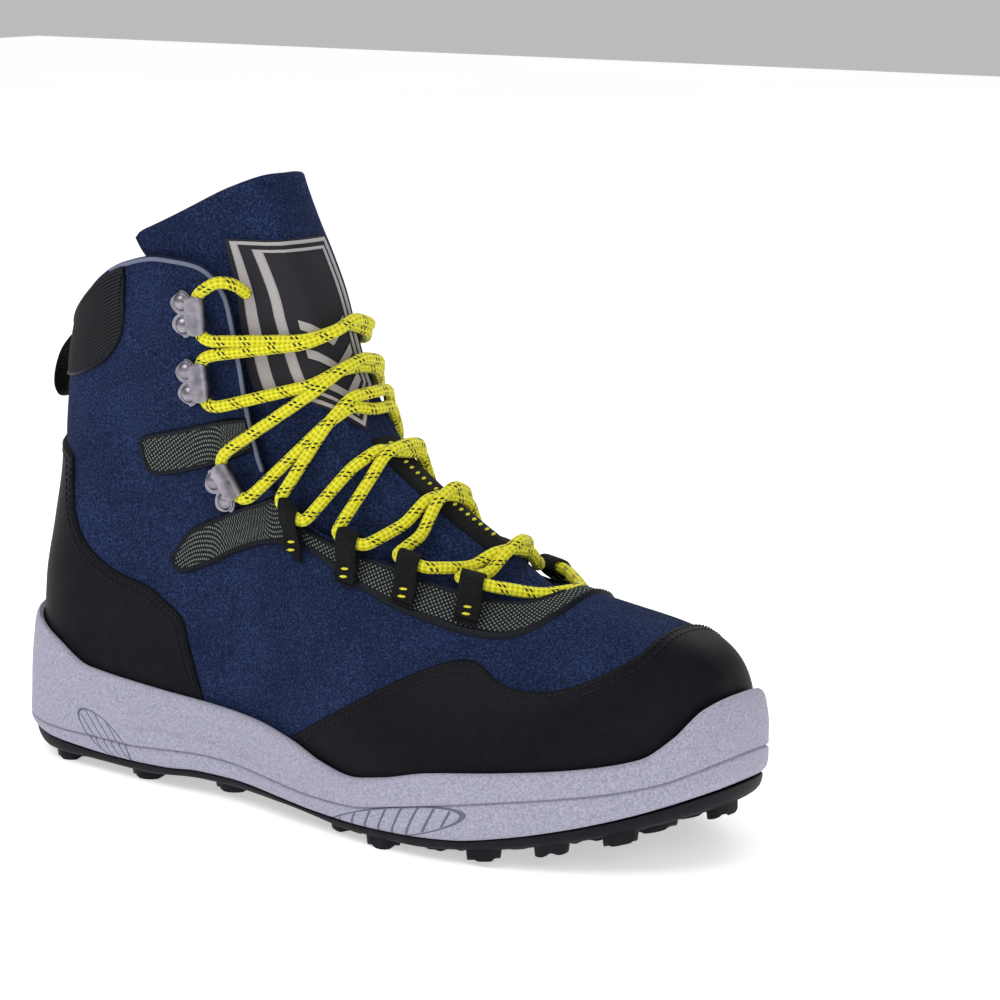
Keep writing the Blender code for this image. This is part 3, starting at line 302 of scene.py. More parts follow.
# Top line from the back of the collar to the throat's end: share of the feather edge, x, |y|, z
TOP_LINE = sized([
    (0.0, 0.0459, 0.0085, 0.7181), (0.07, 0.0623, 0.1441, 0.7357), (0.14, 0.1148, 0.2288, 0.7841),
    (0.21, 0.1902, 0.2542, 0.848), (0.26, 0.2492, 0.2542, 0.8634), (0.31, 0.3082, 0.2542, 0.8546),
    (0.345, 0.3443, 0.2542, 0.8282), (0.375, 0.3607, 0.2542, 0.7577), (0.41, 0.377, 0.2542, 0.6608),
    (0.44, 0.3967, 0.2542, 0.5727), (0.47, 0.4262, 0.2458, 0.5066), (0.51, 0.4754, 0.2373, 0.4626),
    (0.58, 0.5574, 0.2288, 0.4273), (0.66, 0.6393, 0.2203, 0.4009), (0.74, 0.7049, 0.1949, 0.3877),
    (0.82, 0.7475, 0.1525, 0.3877), (0.91, 0.7705, 0.0763, 0.3921), (1.0, 0.777, 0, 0.3921),
], 1, LENGTH, BALL_WIDTH, HEIGHT)

# Edges of the panels seen from the side: x, z
COUNTER_EDGE = sized([
    (-0.0393, 0.5639), (0.0852, 0.5242), (0.0918, 0.4934), (0.0967, 0.4493), (0.1098, 0.4053),
    (0.1344, 0.37), (0.177, 0.3414), (0.2361, 0.3242), (0.2721, 0.3009), (0.2967, 0.2802),
    (0.3115, 0.2357), (0.3279, 0.1921), (0.3443, 0.1454), (0.3541, 0.0441),
], LENGTH, HEIGHT)
RAND_EDGE = sized([
    (0.4525, 0.0352), (0.4741, 0.1123), (0.5377, 0.1696), (0.5934, 0.2137), (0.6413, 0.2511),
    (0.6787, 0.2784), (0.7108, 0.2952), (0.7377, 0.296), (0.7672, 0.2793), (0.8, 0.2687), (0.8393, 0.2709),
    (0.8721, 0.2863), (0.8984, 0.3084), (0.918, 0.337), (0.9262, 0.4185),
], LENGTH, HEIGHT)
EYESTAY_EDGE = sized([
    (0.4918, 0.5727), (0.4223, 0.5035), (0.3656, 0.474), (0.3308, 0.4515), (0.2977, 0.43),
    (0.2787, 0.4009), (0.2689, 0.3771), (0.2754, 0.3595), (0.2921, 0.3542), (0.3364, 0.3771),
    (0.3666, 0.3987), (0.4098, 0.4194), (0.4505, 0.4256), (0.4849, 0.4167), (0.5377, 0.3894),
    (0.6013, 0.3595), (0.6649, 0.3392), (0.7125, 0.3278), (0.7518, 0.3269), (0.7754, 0.3366),
    (0.7934, 0.3546), (0.8049, 0.3789), (0.8098, 0.4405), (0.7541, 0.5727),
], LENGTH, HEIGHT)
BAND_EDGE = sized([
    (0.4197, 0.6291), (0.3495, 0.6167), (0.282, 0.593), (0.2174, 0.57), (0.2151, 0.5463), (0.22, 0.522),
    (0.2331, 0.5075), (0.2633, 0.5119), (0.3144, 0.53), (0.3492, 0.5467), (0.3846, 0.5652),
    (0.4197, 0.5837),
], LENGTH, HEIGHT)
PANEL_EDGE = sized([
    (-0.0393, 0.6432), (0.0459, 0.6449), (0.0984, 0.6546), (0.1344, 0.6709), (0.1639, 0.6943),
    (0.1836, 0.7269), (0.1921, 0.7621), (0.1961, 0.8172), (0.198, 0.9031), (-0.0393, 0.9031),
], LENGTH, HEIGHT)

# Tongue: share of its length, middle x, middle z, wing x, wing |y|, wing z
TONGUE = sized([
    (0.0, 0.8131, 0.3789, 0.7967, 0.1695, 0.3612), (0.12, 0.7016, 0.4273, 0.6852, 0.2797, 0.3524),
    (0.26, 0.6131, 0.4934, 0.6033, 0.2966, 0.3524), (0.4, 0.5508, 0.5507, 0.5311, 0.3051, 0.3789),
    (0.52, 0.4984, 0.6211, 0.4557, 0.3136, 0.4317), (0.64, 0.4656, 0.7004, 0.3869, 0.3051, 0.5463),
    (0.76, 0.4426, 0.793, 0.3213, 0.2881, 0.6872), (0.88, 0.4131, 0.8943, 0.2754, 0.2712, 0.8194),
    (1.0, 0.3738, 0.9956, 0.2393, 0.2542, 0.9075),
], 1, LENGTH, HEIGHT, LENGTH, BALL_WIDTH, HEIGHT)

# Lace loops: place along the eyestay, x of the loop
LOOPS_OUTER = sized([
    (1, 0.4557), (2, 0.5377), (3, 0.6164), (4, 0.6918),
], 1, LENGTH)
LOOPS_INNER = sized([
    (1, 0.4787), (2, 0.5574), (3, 0.6295), (4, 0.6984),
], 1, LENGTH)
# Hooks: name, x, z of the middle of the plate, tilt in degrees
HOOKS = sized([
    (1, 0.3115, 0.7841, 4.0), (2, 0.3164, 0.674, 8.0), (3, 0.3623, 0.5154, 35.0),
], 1, LENGTH, HEIGHT, 1)
# Hook's sheet: distance along it, half width, distance out from the plate, reach along the boot
HOOK_SHEET = [
    (0.0, 5.0, 0.0, -11.5), (1.5, 7.4, 0.0, -10.0), (4.0, 8.7, 0.0, -7.5), (7.0, 8.4, 0.0, -4.5),
    (9.5, 6.0, 0.0, -2.0), (12.0, 4.9, 0.2, 0.8), (14.5, 5.0, 1.3, 3.6), (17.0, 5.6, 3.4, 5.2), (19.3, 6.6, 5.6, 5.0),
    (21.6, 7.2, 6.9, 3.2), (23.8, 6.6, 7.1, 1.0), (25.2, 4.6, 6.8, -0.4),
]
# Groove in the midsole's side: x, z
GROOVE = sized([
    (0, 0.0705), (0.1311, 0.0617), (0.223, 0.0617), (0.2721, 0.0661), (0.3508, 0.0722), (0.4066, 0.0705),
    (0.4951, 0.0634), (0.5475, 0.059), (0.6164, 0.0617), (0.6918, 0.0793), (0.7574, 0.0952),
    (0.8164, 0.1084), (0.8787, 0.1207), (0.9246, 0.1304), (0.9705, 0.1454), (0.9934, 0.1604),
    (1.023, 0.185),
], LENGTH, HEIGHT)
LOOP_WIDTH, LOOP_THICK = 9.0, 1.0  # webbing loops
# Pull loop: webbing folded at the back of the collar, side view: x, z
PULL_LOOP = sized([
    (0.0393, 0.7115), (0.0262, 0.7048), (0.0052, 0.6762), (-0.0059, 0.6432), (-0.0085, 0.6145),
    (-0.0013, 0.5982), (0.0105, 0.6009), (0.0184, 0.6233), (0.0282, 0.6586),
], LENGTH, HEIGHT)

# %% [markdown]
# ## The form of the boot
# A boot has few flat faces, so its surface is worked out once as a function and every cloth panel, stitch and
# lace is laid on it. The functions work on whole arrays of points at once, which keeps dense meshes quick.

# %% Curves through the tables
SLOPES = {}


def smooth(rows, key, column=1):
    """A table's column at one or many keys, on a monotone curve through its rows."""
    place = (id(rows), column)
    if place not in SLOPES:
        keys = np.array([row[0] for row in rows], float)
        values = np.array([row[column] for row in rows], float)
        step = np.diff(keys)
        rise = np.diff(values) / step
        slope = np.concatenate((rise[:1], np.zeros(len(rows) - 2), rise[-1:]))
        both = rise[:-1] * rise[1:]
        total = np.where(both > 0, rise[:-1] + rise[1:], 1.0)
        slope[1:-1] = np.where(both > 0, 2 * both / total, 0.0)
        SLOPES[place] = (keys, values, step, slope, rows)
    keys, values, step, slope, _ = SLOPES[place]
    key = np.clip(key, keys[0], keys[-1])
    k = np.clip(np.searchsorted(keys, key) - 1, 0, len(keys) - 2)
    u = (key - keys[k]) / step[k]
    return (values[k] * (1 + 2 * u) * (1 - u) ** 2 + values[k + 1] * u * u * (3 - 2 * u)
            + step[k] * (slope[k] * u * (1 - u) ** 2 - slope[k + 1] * u * u * (1 - u)))


def ease(value, low, high):
    """Smooth step from 0 at low to 1 at high."""
    u = np.clip((value - low) / (high - low), 0.0, 1.0)
    return u * u * (3 - 2 * u)


def cap(u, power):
    """Rounded end: 1 at u = 0, 0 at u = 1."""
    u = np.clip(u, 0.0, 1.0)
    return (1 - u ** power) ** (1 / power)


def unit(vectors):
    """Arrows of length one."""
    return vectors / np.maximum(np.linalg.norm(vectors, axis=-1, keepdims=True), 1e-9)


# %% Outline seen from above
def half_width(rows, side, x, grow):
    """Half width from the centre line; side -1 is the outer side, and grow widens it all round."""
    middle = LENGTH / 2
    x = middle + (x - middle) * middle / (middle + grow)
    width = np.where(side < 0, smooth(rows, x, 1), smooth(rows, x, 2)) - side * smooth(CENTRE, x)
    width = width * cap((HEEL_CAP - x) / HEEL_CAP, 2.2)
    width = width * np.where(side < 0, cap((x - LENGTH + TOE_CAP_OUTER) / TOE_CAP_OUTER, 1.8),
                             cap((x - LENGTH + TOE_CAP_INNER) / TOE_CAP_INNER, 2.3))
    return width + grow * np.minimum(1.0, width / 8)


EDGES = {}


def edge_run(side, grow):
    """Share of the way along the outline against the turn of its points."""
    if (side, grow) not in EDGES:
        turn = np.linspace(0, 1, 481)
        x = -grow + (LENGTH + 2 * grow) * (1 - np.cos(np.pi * turn)) / 2
        y = smooth(CENTRE, x) + side * half_width(OUTLINE, side, x, grow)
        run = np.concatenate(([0], np.cumsum(np.hypot(np.diff(x), np.diff(y)))))
        EDGES[(side, grow)] = (run / run[-1], turn)
    return EDGES[(side, grow)]


def edge_point(side, share, grow):
    """Point of the outline at a share of its way from heel to toe."""
    turn = np.where(side < 0, np.interp(share, *edge_run(-1, grow)), np.interp(share, *edge_run(1, grow)))
    x = -grow + (LENGTH + 2 * grow) * (1 - np.cos(np.pi * turn)) / 2
    return x, smooth(CENTRE, x) + side * half_width(OUTLINE, side, x, grow)


# %% Skin of the upper
RIDGE_BY_HEIGHT = sorted((z, x) for x, z in RIDGE)


def skin_half_width(side, x, z):
    """Half width of the upper's outer face from the centre line at a place in the side view."""
    lean = smooth(BACK, z) * (1 - ease(x, 0.082 * LENGTH, 0.344 * LENGTH))
    x_base = x - lean
    rise = ease(z - smooth(FLOOR, x), 0, 0.15 * HEIGHT)
    foot = (half_width(OUTLINE, side, x_base, UPPER_INSET) * (1 - rise)
            + half_width(BODY, side, x_base, UPPER_INSET) * rise)
    foot = foot * (1 + (smooth(SHAFT, z) - 1) * (1 - ease(x, 0.344 * LENGTH, 0.574 * LENGTH)))
    wall_top = smooth(FLOOR, x) + 0.07 * HEIGHT
    height = np.clip((z - wall_top) / np.maximum(smooth(RIDGE, x) - wall_top, 1.0), 0.0, 1.0)
    over = (1 - height ** smooth(ARCH, x, 1)) ** (1 / smooth(ARCH, x, 2))
    front, heart = smooth(RIDGE_BY_HEIGHT, z), 0.223 * LENGTH
    round_off = np.where(front > x, cap(np.maximum(x - heart, 0.0) / np.maximum(front - heart, 1e-6), 2.5), 0.0)
    mix = ease(z, 0.423 * HEIGHT, 0.626 * HEIGHT)
    return foot * (over * (1 - mix) + round_off * mix)


def inside(points):
    """Whether points lie within the skin."""
    y = points[..., 1] - smooth(CENTRE, points[..., 0])
    side = np.where(y < 0, -1.0, 1.0)
    return np.abs(y) < skin_half_width(side, points[..., 0], points[..., 2])


def meet_skin(start, guess, low, high, steps=24):
    """Share of the way from a start through a guess at which a line leaves the skin."""
    low, high = np.full(guess.shape[:-1], low), np.full(guess.shape[:-1], high)
    for _ in range(steps):
        middle = (low + high) / 2
        within = inside(start + (guess - start) * middle[..., None])
        low, high = np.where(within, middle, low), np.where(within, high, middle)
    return low[..., None]


def cast(guess):
    """The skin's point on the line from the foot's spine through a guess."""
    x = np.clip(guess[..., 0], 0.203 * LENGTH, 0.78 * LENGTH)
    level = guess[..., 2] + (0.198 * HEIGHT - guess[..., 2]) * ease(guess[..., 0], 0.262 * LENGTH, 0.443 * LENGTH)
    start = np.stack((x, smooth(CENTRE, x), level), -1)
    return start + (guess - start) * meet_skin(start, guess, 0.1, 2.6)


def column_guess(side, share, t):
    """Guess for a point of a column: t runs from the feather edge to the top line."""
    x, y = edge_point(side, share, UPPER_INSET)
    foot = np.stack(np.broadcast_arrays(x, y, smooth(FLOOR, x) + 0.4), -1)
    top_x = smooth(TOP_LINE, share, 1)
    top = np.stack((top_x, side * smooth(TOP_LINE, share, 2) + smooth(CENTRE, top_x), smooth(TOP_LINE, share, 3)), -1)
    guess = foot + (top - foot) * t[..., None]
    guess[..., 2] += 0.044 * HEIGHT * np.sin(np.pi * t) * ease(share, 0.75, 1.0)
    return guess


# %% Even steps up each column of the skin
COLUMN_SHARES, COLUMN_STEPS = np.linspace(0, 1, 97), np.linspace(0, 1, 33)
COLUMN_RUNS, COLUMN_LENGTHS = {}, {}
for side in (-1.0, 1.0):
    share_grid, t_grid = np.meshgrid(COLUMN_SHARES, COLUMN_STEPS, indexing='ij')
    line = cast(column_guess(np.full_like(share_grid, side), share_grid, t_grid))
    run = np.cumsum(np.linalg.norm(np.diff(line, axis=1), axis=-1), axis=1)
    run = np.concatenate((np.zeros((len(COLUMN_SHARES), 1)), run), axis=1)
    COLUMN_LENGTHS[side] = run[:, -1]
    COLUMN_RUNS[side] = run / run[:, -1:]


def side_and_share(turn):
    """Turn 0 is the heel, 1 the toe by the outer side, and 2 the heel again by the inner side."""
    turn = np.mod(turn, 2.0)
    return np.where(turn <= 1, -1.0, 1.0), np.where(turn <= 1, turn, 2 - turn)


def column_length(turn):
    """Length in millimetres of the column at a turn."""
    side, share = side_and_share(turn)
    return np.where(side < 0, np.interp(share, COLUMN_SHARES, COLUMN_LENGTHS[-1.0]),
                    np.interp(share, COLUMN_SHARES, COLUMN_LENGTHS[1.0]))


def bare_skin(turn, ring):
    """Points of the skin: ring 0 is the feather edge and 1 the top line."""
    turn, ring = np.broadcast_arrays(np.asarray(turn, float), np.clip(np.asarray(ring, float), 0, 1))
    side, share = side_and_share(turn)
    place = share * (len(COLUMN_SHARES) - 1)
    k = np.clip(place.astype(int), 0, len(COLUMN_SHARES) - 2)
    mix = (place - k)[..., None]
    outer = COLUMN_RUNS[-1.0][k] * (1 - mix) + COLUMN_RUNS[-1.0][k + 1] * mix
    inner = COLUMN_RUNS[1.0][k] * (1 - mix) + COLUMN_RUNS[1.0][k + 1] * mix
    runs = np.where(side[..., None] < 0, outer, inner)
    n = np.clip((runs < ring[..., None]).sum(-1) - 1, 0, len(COLUMN_STEPS) - 2)
    low = np.take_along_axis(runs, n[..., None], -1)[..., 0]
    high = np.take_along_axis(runs, n[..., None] + 1, -1)[..., 0]
    t = (n + np.clip((ring - low) / np.maximum(high - low, 1e-9), 0, 1)) / (len(COLUMN_STEPS) - 1)
    return cast(column_guess(side, share, t))


def skin_normal(turn, ring):
    """Outward direction of the skin."""
    ring = np.clip(np.asarray(ring, float), 0, 1)
    along = bare_skin(turn + 0.006, ring) - bare_skin(turn - 0.006, ring)
    rise = bare_skin(turn, ring + 0.015) - bare_skin(turn, ring - 0.015)
    return unit(np.cross(along, rise))


def skin(turn, ring, lift=0.0):
    """Points lifted off the skin by millimetres."""
    turn, ring, lift = np.broadcast_arrays(np.asarray(turn, float), np.asarray(ring, float), np.asarray(lift, float))
    points = bare_skin(turn, ring)
    return points + skin_normal(turn, ring) * lift[..., None]


def side_point(side, x, z):
    """Point of the skin at a place in the side view."""
    x, z = np.broadcast_arrays(np.asarray(x, float), np.asarray(z, float))
    return np.stack((x, smooth(CENTRE, x) + side * skin_half_width(side, x, z), z), -1)


# %% Skin of the tongue
def tongue_start(length):
    """Points inside the shaft from which the tongue's face is looked for."""
    wing_x, wing_z = smooth(TONGUE, length, 3), smooth(TONGUE, length, 5)
    shaft = ease(wing_z, 0.38 * HEIGHT, 0.66 * HEIGHT)
    return np.stack((wing_x - 0.1 * LENGTH * shaft, smooth(CENTRE, wing_x),
                     wing_z - 0.185 * HEIGHT * (1 - shaft)), -1)


def tongue(length, across, lift=0.0):
    """Points of the tongue: length 0 toe end to 1 top, across -1 outer to 1 inner wing."""
    length, across, lift = np.broadcast_arrays(np.asarray(length, float), np.asarray(across, float),
                                               np.asarray(lift, float))
    start = tongue_start(length)
    middle = np.stack((smooth(TONGUE, length, 1), start[..., 1],
                       smooth(TONGUE, length, 2) + 1.5 * ease(length, 0.85, 1.0)), -1)
    aside = np.where(across < 0, -1, 1) * smooth(TONGUE, length, 4)
    wing = np.stack((smooth(TONGUE, length, 3), start[..., 1] + aside, smooth(TONGUE, length, 5)), -1)
    angle = (np.abs(across) * np.pi / 2)[..., None]
    guess = start + (middle - start) * np.cos(angle) + (wing - start) * np.sin(angle)
    guess[..., 2] += 5 * np.sin(2 * angle[..., 0]) * ease(length, 0.8, 1.0)
    point = start + (guess - start) * meet_skin(start, guess, 0.2, 2.4)
    sunk = WALL + 2.6 + (COLLAR_WALL - WALL + 2.4) * ease(point[..., 2], 0.42 * HEIGHT, 0.66 * HEIGHT)
    shaft = ease(length, 0.45, 0.65)
    under = np.maximum(ease(np.abs(across), 0.16 + 0.14 * shaft, 0.50 + 0.10 * shaft), 1 - ease(length, 0.03, 0.16))
    return point - unit(guess - start) * (sunk * under + 0.3 - lift)[..., None]


print("skin:", len(COLUMN_SHARES) * 2, "columns measured")

# %% [markdown]
# ## From arrays to meshes
# A cloth sheet starts as Blender's own grid, whose points are then moved to their places on the boot. A tube,
# such as a lace, is the same grid rolled up. Everything is worked out in millimetres and scaled at the end.

# %% Mesh helpers
WELD = 0.003  # millimetres within which points of a grid are one
TO_FRAME = Matrix.Scale(0.001, 4) @ Matrix.Translation((-ORIGIN_X, -ORIGIN_Y, 0))


def lay_grid(bm, points, uv=None, finish=0):
    """Adds a grid at the points, columns by rows; finish is a material index or a function of column and row."""
    columns, rows = points.shape[:2]
    made = bmesh.ops.create_grid(bm, x_segments=columns - 1, y_segments=rows - 1, size=1.0)["verts"]
    at = {}
    for vert in made:
        i, j = round((vert.co.x + 1) / 2 * (columns - 1)), round((vert.co.y + 1) / 2 * (rows - 1))
        at[vert] = (i, j)
    layer = bm.loops.layers.uv.verify()
    faces = {face for vert in made for face in vert.link_faces}
    for face in faces:
        i, j = min(at[v][0] for v in face.verts), min(at[v][1] for v in face.verts)
        face.material_index = finish(i, j) if callable(finish) else finish
        if uv is not None:
            for loop in face.loops:
                loop[layer].uv = uv[at[loop.vert]]
    for vert, (i, j) in at.items():
        vert.co = points[i, j]
    bmesh.ops.remove_doubles(bm, verts=made, dist=WELD)


def finish_piece(name, bm, materials, nodes=(), sharp=40, facing=True):
    """Object in metres from a bmesh in millimetres, riding with the boot in place of its CAD nodes."""
    bmesh.ops.transform(bm, matrix=TO_FRAME, verts=bm.verts)
    if facing:
        bmesh.ops.recalc_face_normals(bm, faces=bm.faces)
    mesh = bpy.data.meshes.new(name)
    bm.to_mesh(mesh)
    bm.free()
    mesh.shade_smooth()
    mesh.set_sharp_from_angle(angle=math.radians(sharp))
    for finish in materials:
        mesh.materials.append(finish)
    obj = bpy.data.objects.new(name, mesh)
    bpy.context.scene.collection.objects.link(obj)
    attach(obj, "root")
    if nodes:
        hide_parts(*nodes)
    print(name, len(mesh.polygons), "faces")
    return obj


def run_along(path):
    """Distance from the start of a path to each of its points."""
    return np.concatenate(([0], np.cumsum(np.linalg.norm(np.diff(path, axis=0), axis=1))))


def spline(knots, steps):
    """Points along a smooth curve through knots."""
    knots = np.asarray(knots, float)
    a = np.concatenate((knots[:1], knots[:-1]))[:-1]
    b, c = knots[:-1], knots[1:]
    d = np.concatenate((knots[2:], knots[-1:]))
    u = (np.arange(steps) / steps)[None, :, None]
    a, b, c, d = (k[:, None, :] for k in (a, b, c, d))
    line = (b * 2 + (c - a) * u + (a * 2 - b * 5 + c * 4 - d) * u * u + (b * 3 - a - c * 3 + d) * u ** 3) / 2
    return np.concatenate((line.reshape(-1, knots.shape[1]), knots[-1:]))


def spaced(path, step):
    """The same path with points at even distances."""
    run = run_along(path)
    goal = np.linspace(0, run[-1], max(int(round(run[-1] / step)), 1) + 1)
    return np.stack([np.interp(goal, run, path[:, k]) for k in range(3)], -1)


def path_frames(path):
    """Directions along and across a path, carried without twist."""
    run = unit(np.concatenate((path[1:2] - path[:1], path[2:] - path[:-2], path[-1:] - path[-2:-1])))
    across = np.array(Vector(run[0]).orthogonal(), float)
    sides = []
    for direction in run:
        across = unit(across - direction * across.dot(direction))
        sides.append(across)
    sides = np.array(sides)
    return run, sides, np.cross(run, sides)


def lay_tube(bm, path, radius, around):
    """Adds a tube along a path with rounded ends; its UV holds the turn round it and millimetres along it."""
    run, sides, others = path_frames(path)
    turn = np.linspace(0, 2 * np.pi, around + 1)
    body = (path[:, None] + sides[:, None] * (np.cos(turn)[None, :, None] * radius)
            + others[:, None] * (np.sin(turn)[None, :, None] * radius))
    start = path[0] - run[0] * radius * 0.5
    end = path[-1] + run[-1] * radius * 0.5
    first_lid = [start + (body[0] - path[0]) * k for k in (0.0, 0.7)]
    last_lid = [end + (body[-1] - path[-1]) * k for k in (0.7, 0.0)]
    points = np.concatenate((np.array(first_lid), body, np.array(last_lid)))
    length = run_along(path)
    length = np.concatenate(([-radius, -radius / 2], length, [length[-1] + radius / 2, length[-1] + radius]))
    uv = np.stack(np.broadcast_arrays(turn[None, :] / (2 * np.pi), length[:, None]), -1)
    lay_grid(bm, points, uv)


def lay_stitches(bm, path, normals, pitch, long, thick, finish=0, turned=0.0):
    """Adds short rounded stitches at even steps along a path on a surface."""
    run = run_along(path)

    def at(values, goal):
        return np.array([np.interp(goal, run, values[:, k]) for k in range(3)])

    for goal in np.arange(pitch / 2, run[-1], pitch):
        point = at(path, goal)
        ahead = at(path, goal + 0.5) - at(path, goal - 0.5)
        normal = unit(at(normals, goal))
        ahead = unit(ahead - normal * ahead.dot(normal))
        if turned:
            ahead = unit(ahead * math.cos(turned) + np.cross(normal, ahead) * math.sin(turned))
        beside = np.cross(normal, ahead)
        rows = [[ahead[k] * long / 2, beside[k] * thick / 2, normal[k] * thick / 2, point[k]] for k in range(3)]
        place = Matrix(rows + [[0, 0, 0, 1]])
        made = bmesh.ops.create_icosphere(bm, subdivisions=1, radius=1.15, matrix=place)["verts"]
        for face in {f for v in made for f in v.link_faces}:
            face.material_index = finish

# %% [markdown]
# ## Finishes
# Each finish starts from what the real one is. The uppers are a heathered woven textile, the rand and counter a
# matt coated microfibre, the bands a coarse mesh, the midsole a moulded foam with a fine speckle. Their patterns
# are sized in millimetres. Threads under half a millimetre would not show, so they are drawn a little coarser.

# %% Textiles
# Woven polyester with two blues spun together: soft specks about 0.6 mm long, no shine
NAVY, tree, shader = start_material("heathered_navy_weave", "#18223f", 0.9, Specular_IOR_Level=0.1)
fine, broad = noise(tree, 0.75, 3.0), noise(tree, 22.0, 2.0)
mixed = maths(tree, 'ADD', maths(tree, 'MULTIPLY', fine, 0.84), maths(tree, 'MULTIPLY', broad, 0.16))
tint(tree, shader, mixed, (0.36, "#10182f"), (0.5, "#19233f"), (0.64, "#2b3a62"))
relief(tree, shader, noise(tree, 0.9, 3.0), 0.25, 0.7)

# Coated microfibre, pressed: near black, a soft broad gloss and a fine grain
BLACK, tree, shader = start_material("matt_black_microfibre", "#090a10", 0.58, Specular_IOR_Level=0.12)
tint(tree, shader, noise(tree, 5.0, 3.0), (0.35, "#07080e"), (0.7, "#0d0e15"))
relief(tree, shader, noise(tree, 0.8, 3.0), 0.12, 0.5)

# Moulded film that frames the mesh bands, smoother than the microfibre
FRAME, tree, shader = start_material("navy_black_film", "#10131c", 0.5)
relief(tree, shader, noise(tree, 1.2, 2.0), 0.08, 0.5)

# Coarse mesh: pale threads show as dots on a dark ground, 1.35 mm apart and set askew
MESH, tree, shader = start_material("dotted_dark_mesh", "#1a1d1e", 0.75)
place = add_node(tree, "ShaderNodeMapping", {"Vector": add_node(tree, "ShaderNodeTexCoord").outputs["UV"],
                                             "Rotation": (0, 0, math.radians(52)), "Scale": (1 / 1.35, 1 / 1.35, 1)})
dots = add_node(tree, "ShaderNodeTexVoronoi", {"Vector": place.outputs[0], "Scale": 1.0, "Randomness": 0.12},
                voronoi_dimensions='2D').outputs["Distance"]
tint(tree, shader, dots, (0.17, "#848b83"), (0.27, "#3a3f3d"), (0.38, "#141719"))
relief(tree, shader, maths(tree, 'SUBTRACT', 1.0, dots), 0.35, 0.9)

# Ribbed knit at the back of the collar: ribs 1.3 mm apart round the heel, their troughs painted darker and their
# crests lighter as shade and highlight
RIBS, tree, shader = start_material("ribbed_black_knit", "#17181c", 0.8)
split = add_node(tree, "ShaderNodeSeparateXYZ", {"Vector": add_node(tree, "ShaderNodeTexCoord").outputs["UV"]})
rib_wave_and_shade = maths(tree, 'SINE', maths(tree, 'MULTIPLY', split.outputs["Y"], 2 * math.pi / 1.3))
rib_wave_and_shade = maths(tree, 'ADD', maths(tree, 'MULTIPLY', rib_wave_and_shade, 0.5), 0.5)
# Painted shade and highlight: the wave that raises the ribs tints their troughs dark and their crests pale.
tint(tree, shader, rib_wave_and_shade, (0.25, "#0c0d10"), (0.8, "#2c2e31"))
relief(tree, shader, rib_wave_and_shade, 0.5, 0.9)

# Brushed lining and the insole's cover
LINING, tree, shader = start_material("brushed_grey_lining", "#1c1e27", 0.95, Specular_IOR_Level=0.1)
tint(tree, shader, noise(tree, 1.0, 3.0), (0.35, "#181a22"), (0.65, "#2c2f3a"))
relief(tree, shader, noise(tree, 1.0, 3.0), 0.2, 0.7)

# Narrow woven webbing: ribs across its width, 0.9 mm apart, with a random mottle; the ribs' troughs are painted
# darker and their crests lighter, as shade and highlight
WEBBING, tree, shader = start_material("black_webbing", "#0d0f10", 0.8)
split = add_node(tree, "ShaderNodeSeparateXYZ", {"Vector": add_node(tree, "ShaderNodeTexCoord").outputs["UV"]})
rib_wave_and_shade = maths(tree, 'SINE', maths(tree, 'MULTIPLY', split.outputs["Y"], 2 * math.pi / 0.9))
# Partly painted shade and highlight: the rib wave darkens the troughs and lightens the crests; the noise is the
# webbing's own mottle.
tint(tree, shader, maths(tree, 'ADD', maths(tree, 'MULTIPLY', rib_wave_and_shade, 0.25), noise(tree, 1.2, 2.0)),
                    (0.3, "#08090a"), (0.8, "#1d1f20"))
relief(tree, shader, rib_wave_and_shade, 0.2, 0.8)

# Piping: a thin corded tape, pale grey blue
PIPING, tree, shader = start_material("pale_corded_piping", "#6d7488", 0.75)
relief(tree, shader, noise(tree, 0.7, 2.0), 0.15, 0.7)

# Sewing thread, dark for the seams and yellow for the bartacks
DARK_THREAD, tree, shader = start_material("black_bonded_thread", "#17191f", 0.5)
relief(tree, shader, noise(tree, 0.4, 2.0), 0.05, 0.5)
YELLOW_THREAD, tree, shader = start_material("yellow_bonded_thread", "#d8d23c", 0.6)
relief(tree, shader, noise(tree, 0.4, 2.0), 0.05, 0.5)

# %% [markdown]
# The lace is a round braid of sixteen yarns. Two of them are dark, so a pair of short dark flecks comes up on
# its side about every 10 mm, slanted as the yarns run. Both patterns follow the UV map of the tube: the turn
# round it and the millimetres along it.

# %% Braided cord
CORD, tree, shader = start_material("yellow_braided_cord", "#d9d31c", 0.6, Sheen_Weight=0.1)
split = add_node(tree, "ShaderNodeSeparateXYZ", {"Vector": add_node(tree, "ShaderNodeTexCoord").outputs["UV"]})
round_it, along = split.outputs["X"], split.outputs["Y"]
left = maths(tree, 'ADD', maths(tree, 'MULTIPLY', round_it, 8.0), maths(tree, 'MULTIPLY', along, 1 / 1.9))
other = maths(tree, 'SUBTRACT', maths(tree, 'MULTIPLY', round_it, 8.0), maths(tree, 'MULTIPLY', along, 1 / 1.9))
yarn_bumps_and_shade = maths(tree, 'MULTIPLY', maths(tree, 'SINE', maths(tree, 'MULTIPLY', left, math.pi)),
              maths(tree, 'SINE', maths(tree, 'MULTIPLY', other, math.pi)))
helix = maths(tree, 'FRACT', maths(tree, 'SUBTRACT', maths(tree, 'MULTIPLY', along, 1 / 9.6),
                                   maths(tree, 'MULTIPLY', round_it, 1.0)))
first = maths(tree, 'LESS_THAN', maths(tree, 'ABSOLUTE', maths(tree, 'SUBTRACT', helix, 0.42)), 0.042)
second = maths(tree, 'LESS_THAN', maths(tree, 'ABSOLUTE', maths(tree, 'SUBTRACT', helix, 0.60)), 0.042)
dashes = maths(tree, 'GREATER_THAN', maths(tree, 'FRACT', maths(tree, 'MULTIPLY', round_it, 7.0)), 0.36)
flecks = maths(tree, 'MULTIPLY', maths(tree, 'MAXIMUM', first, second), dashes)
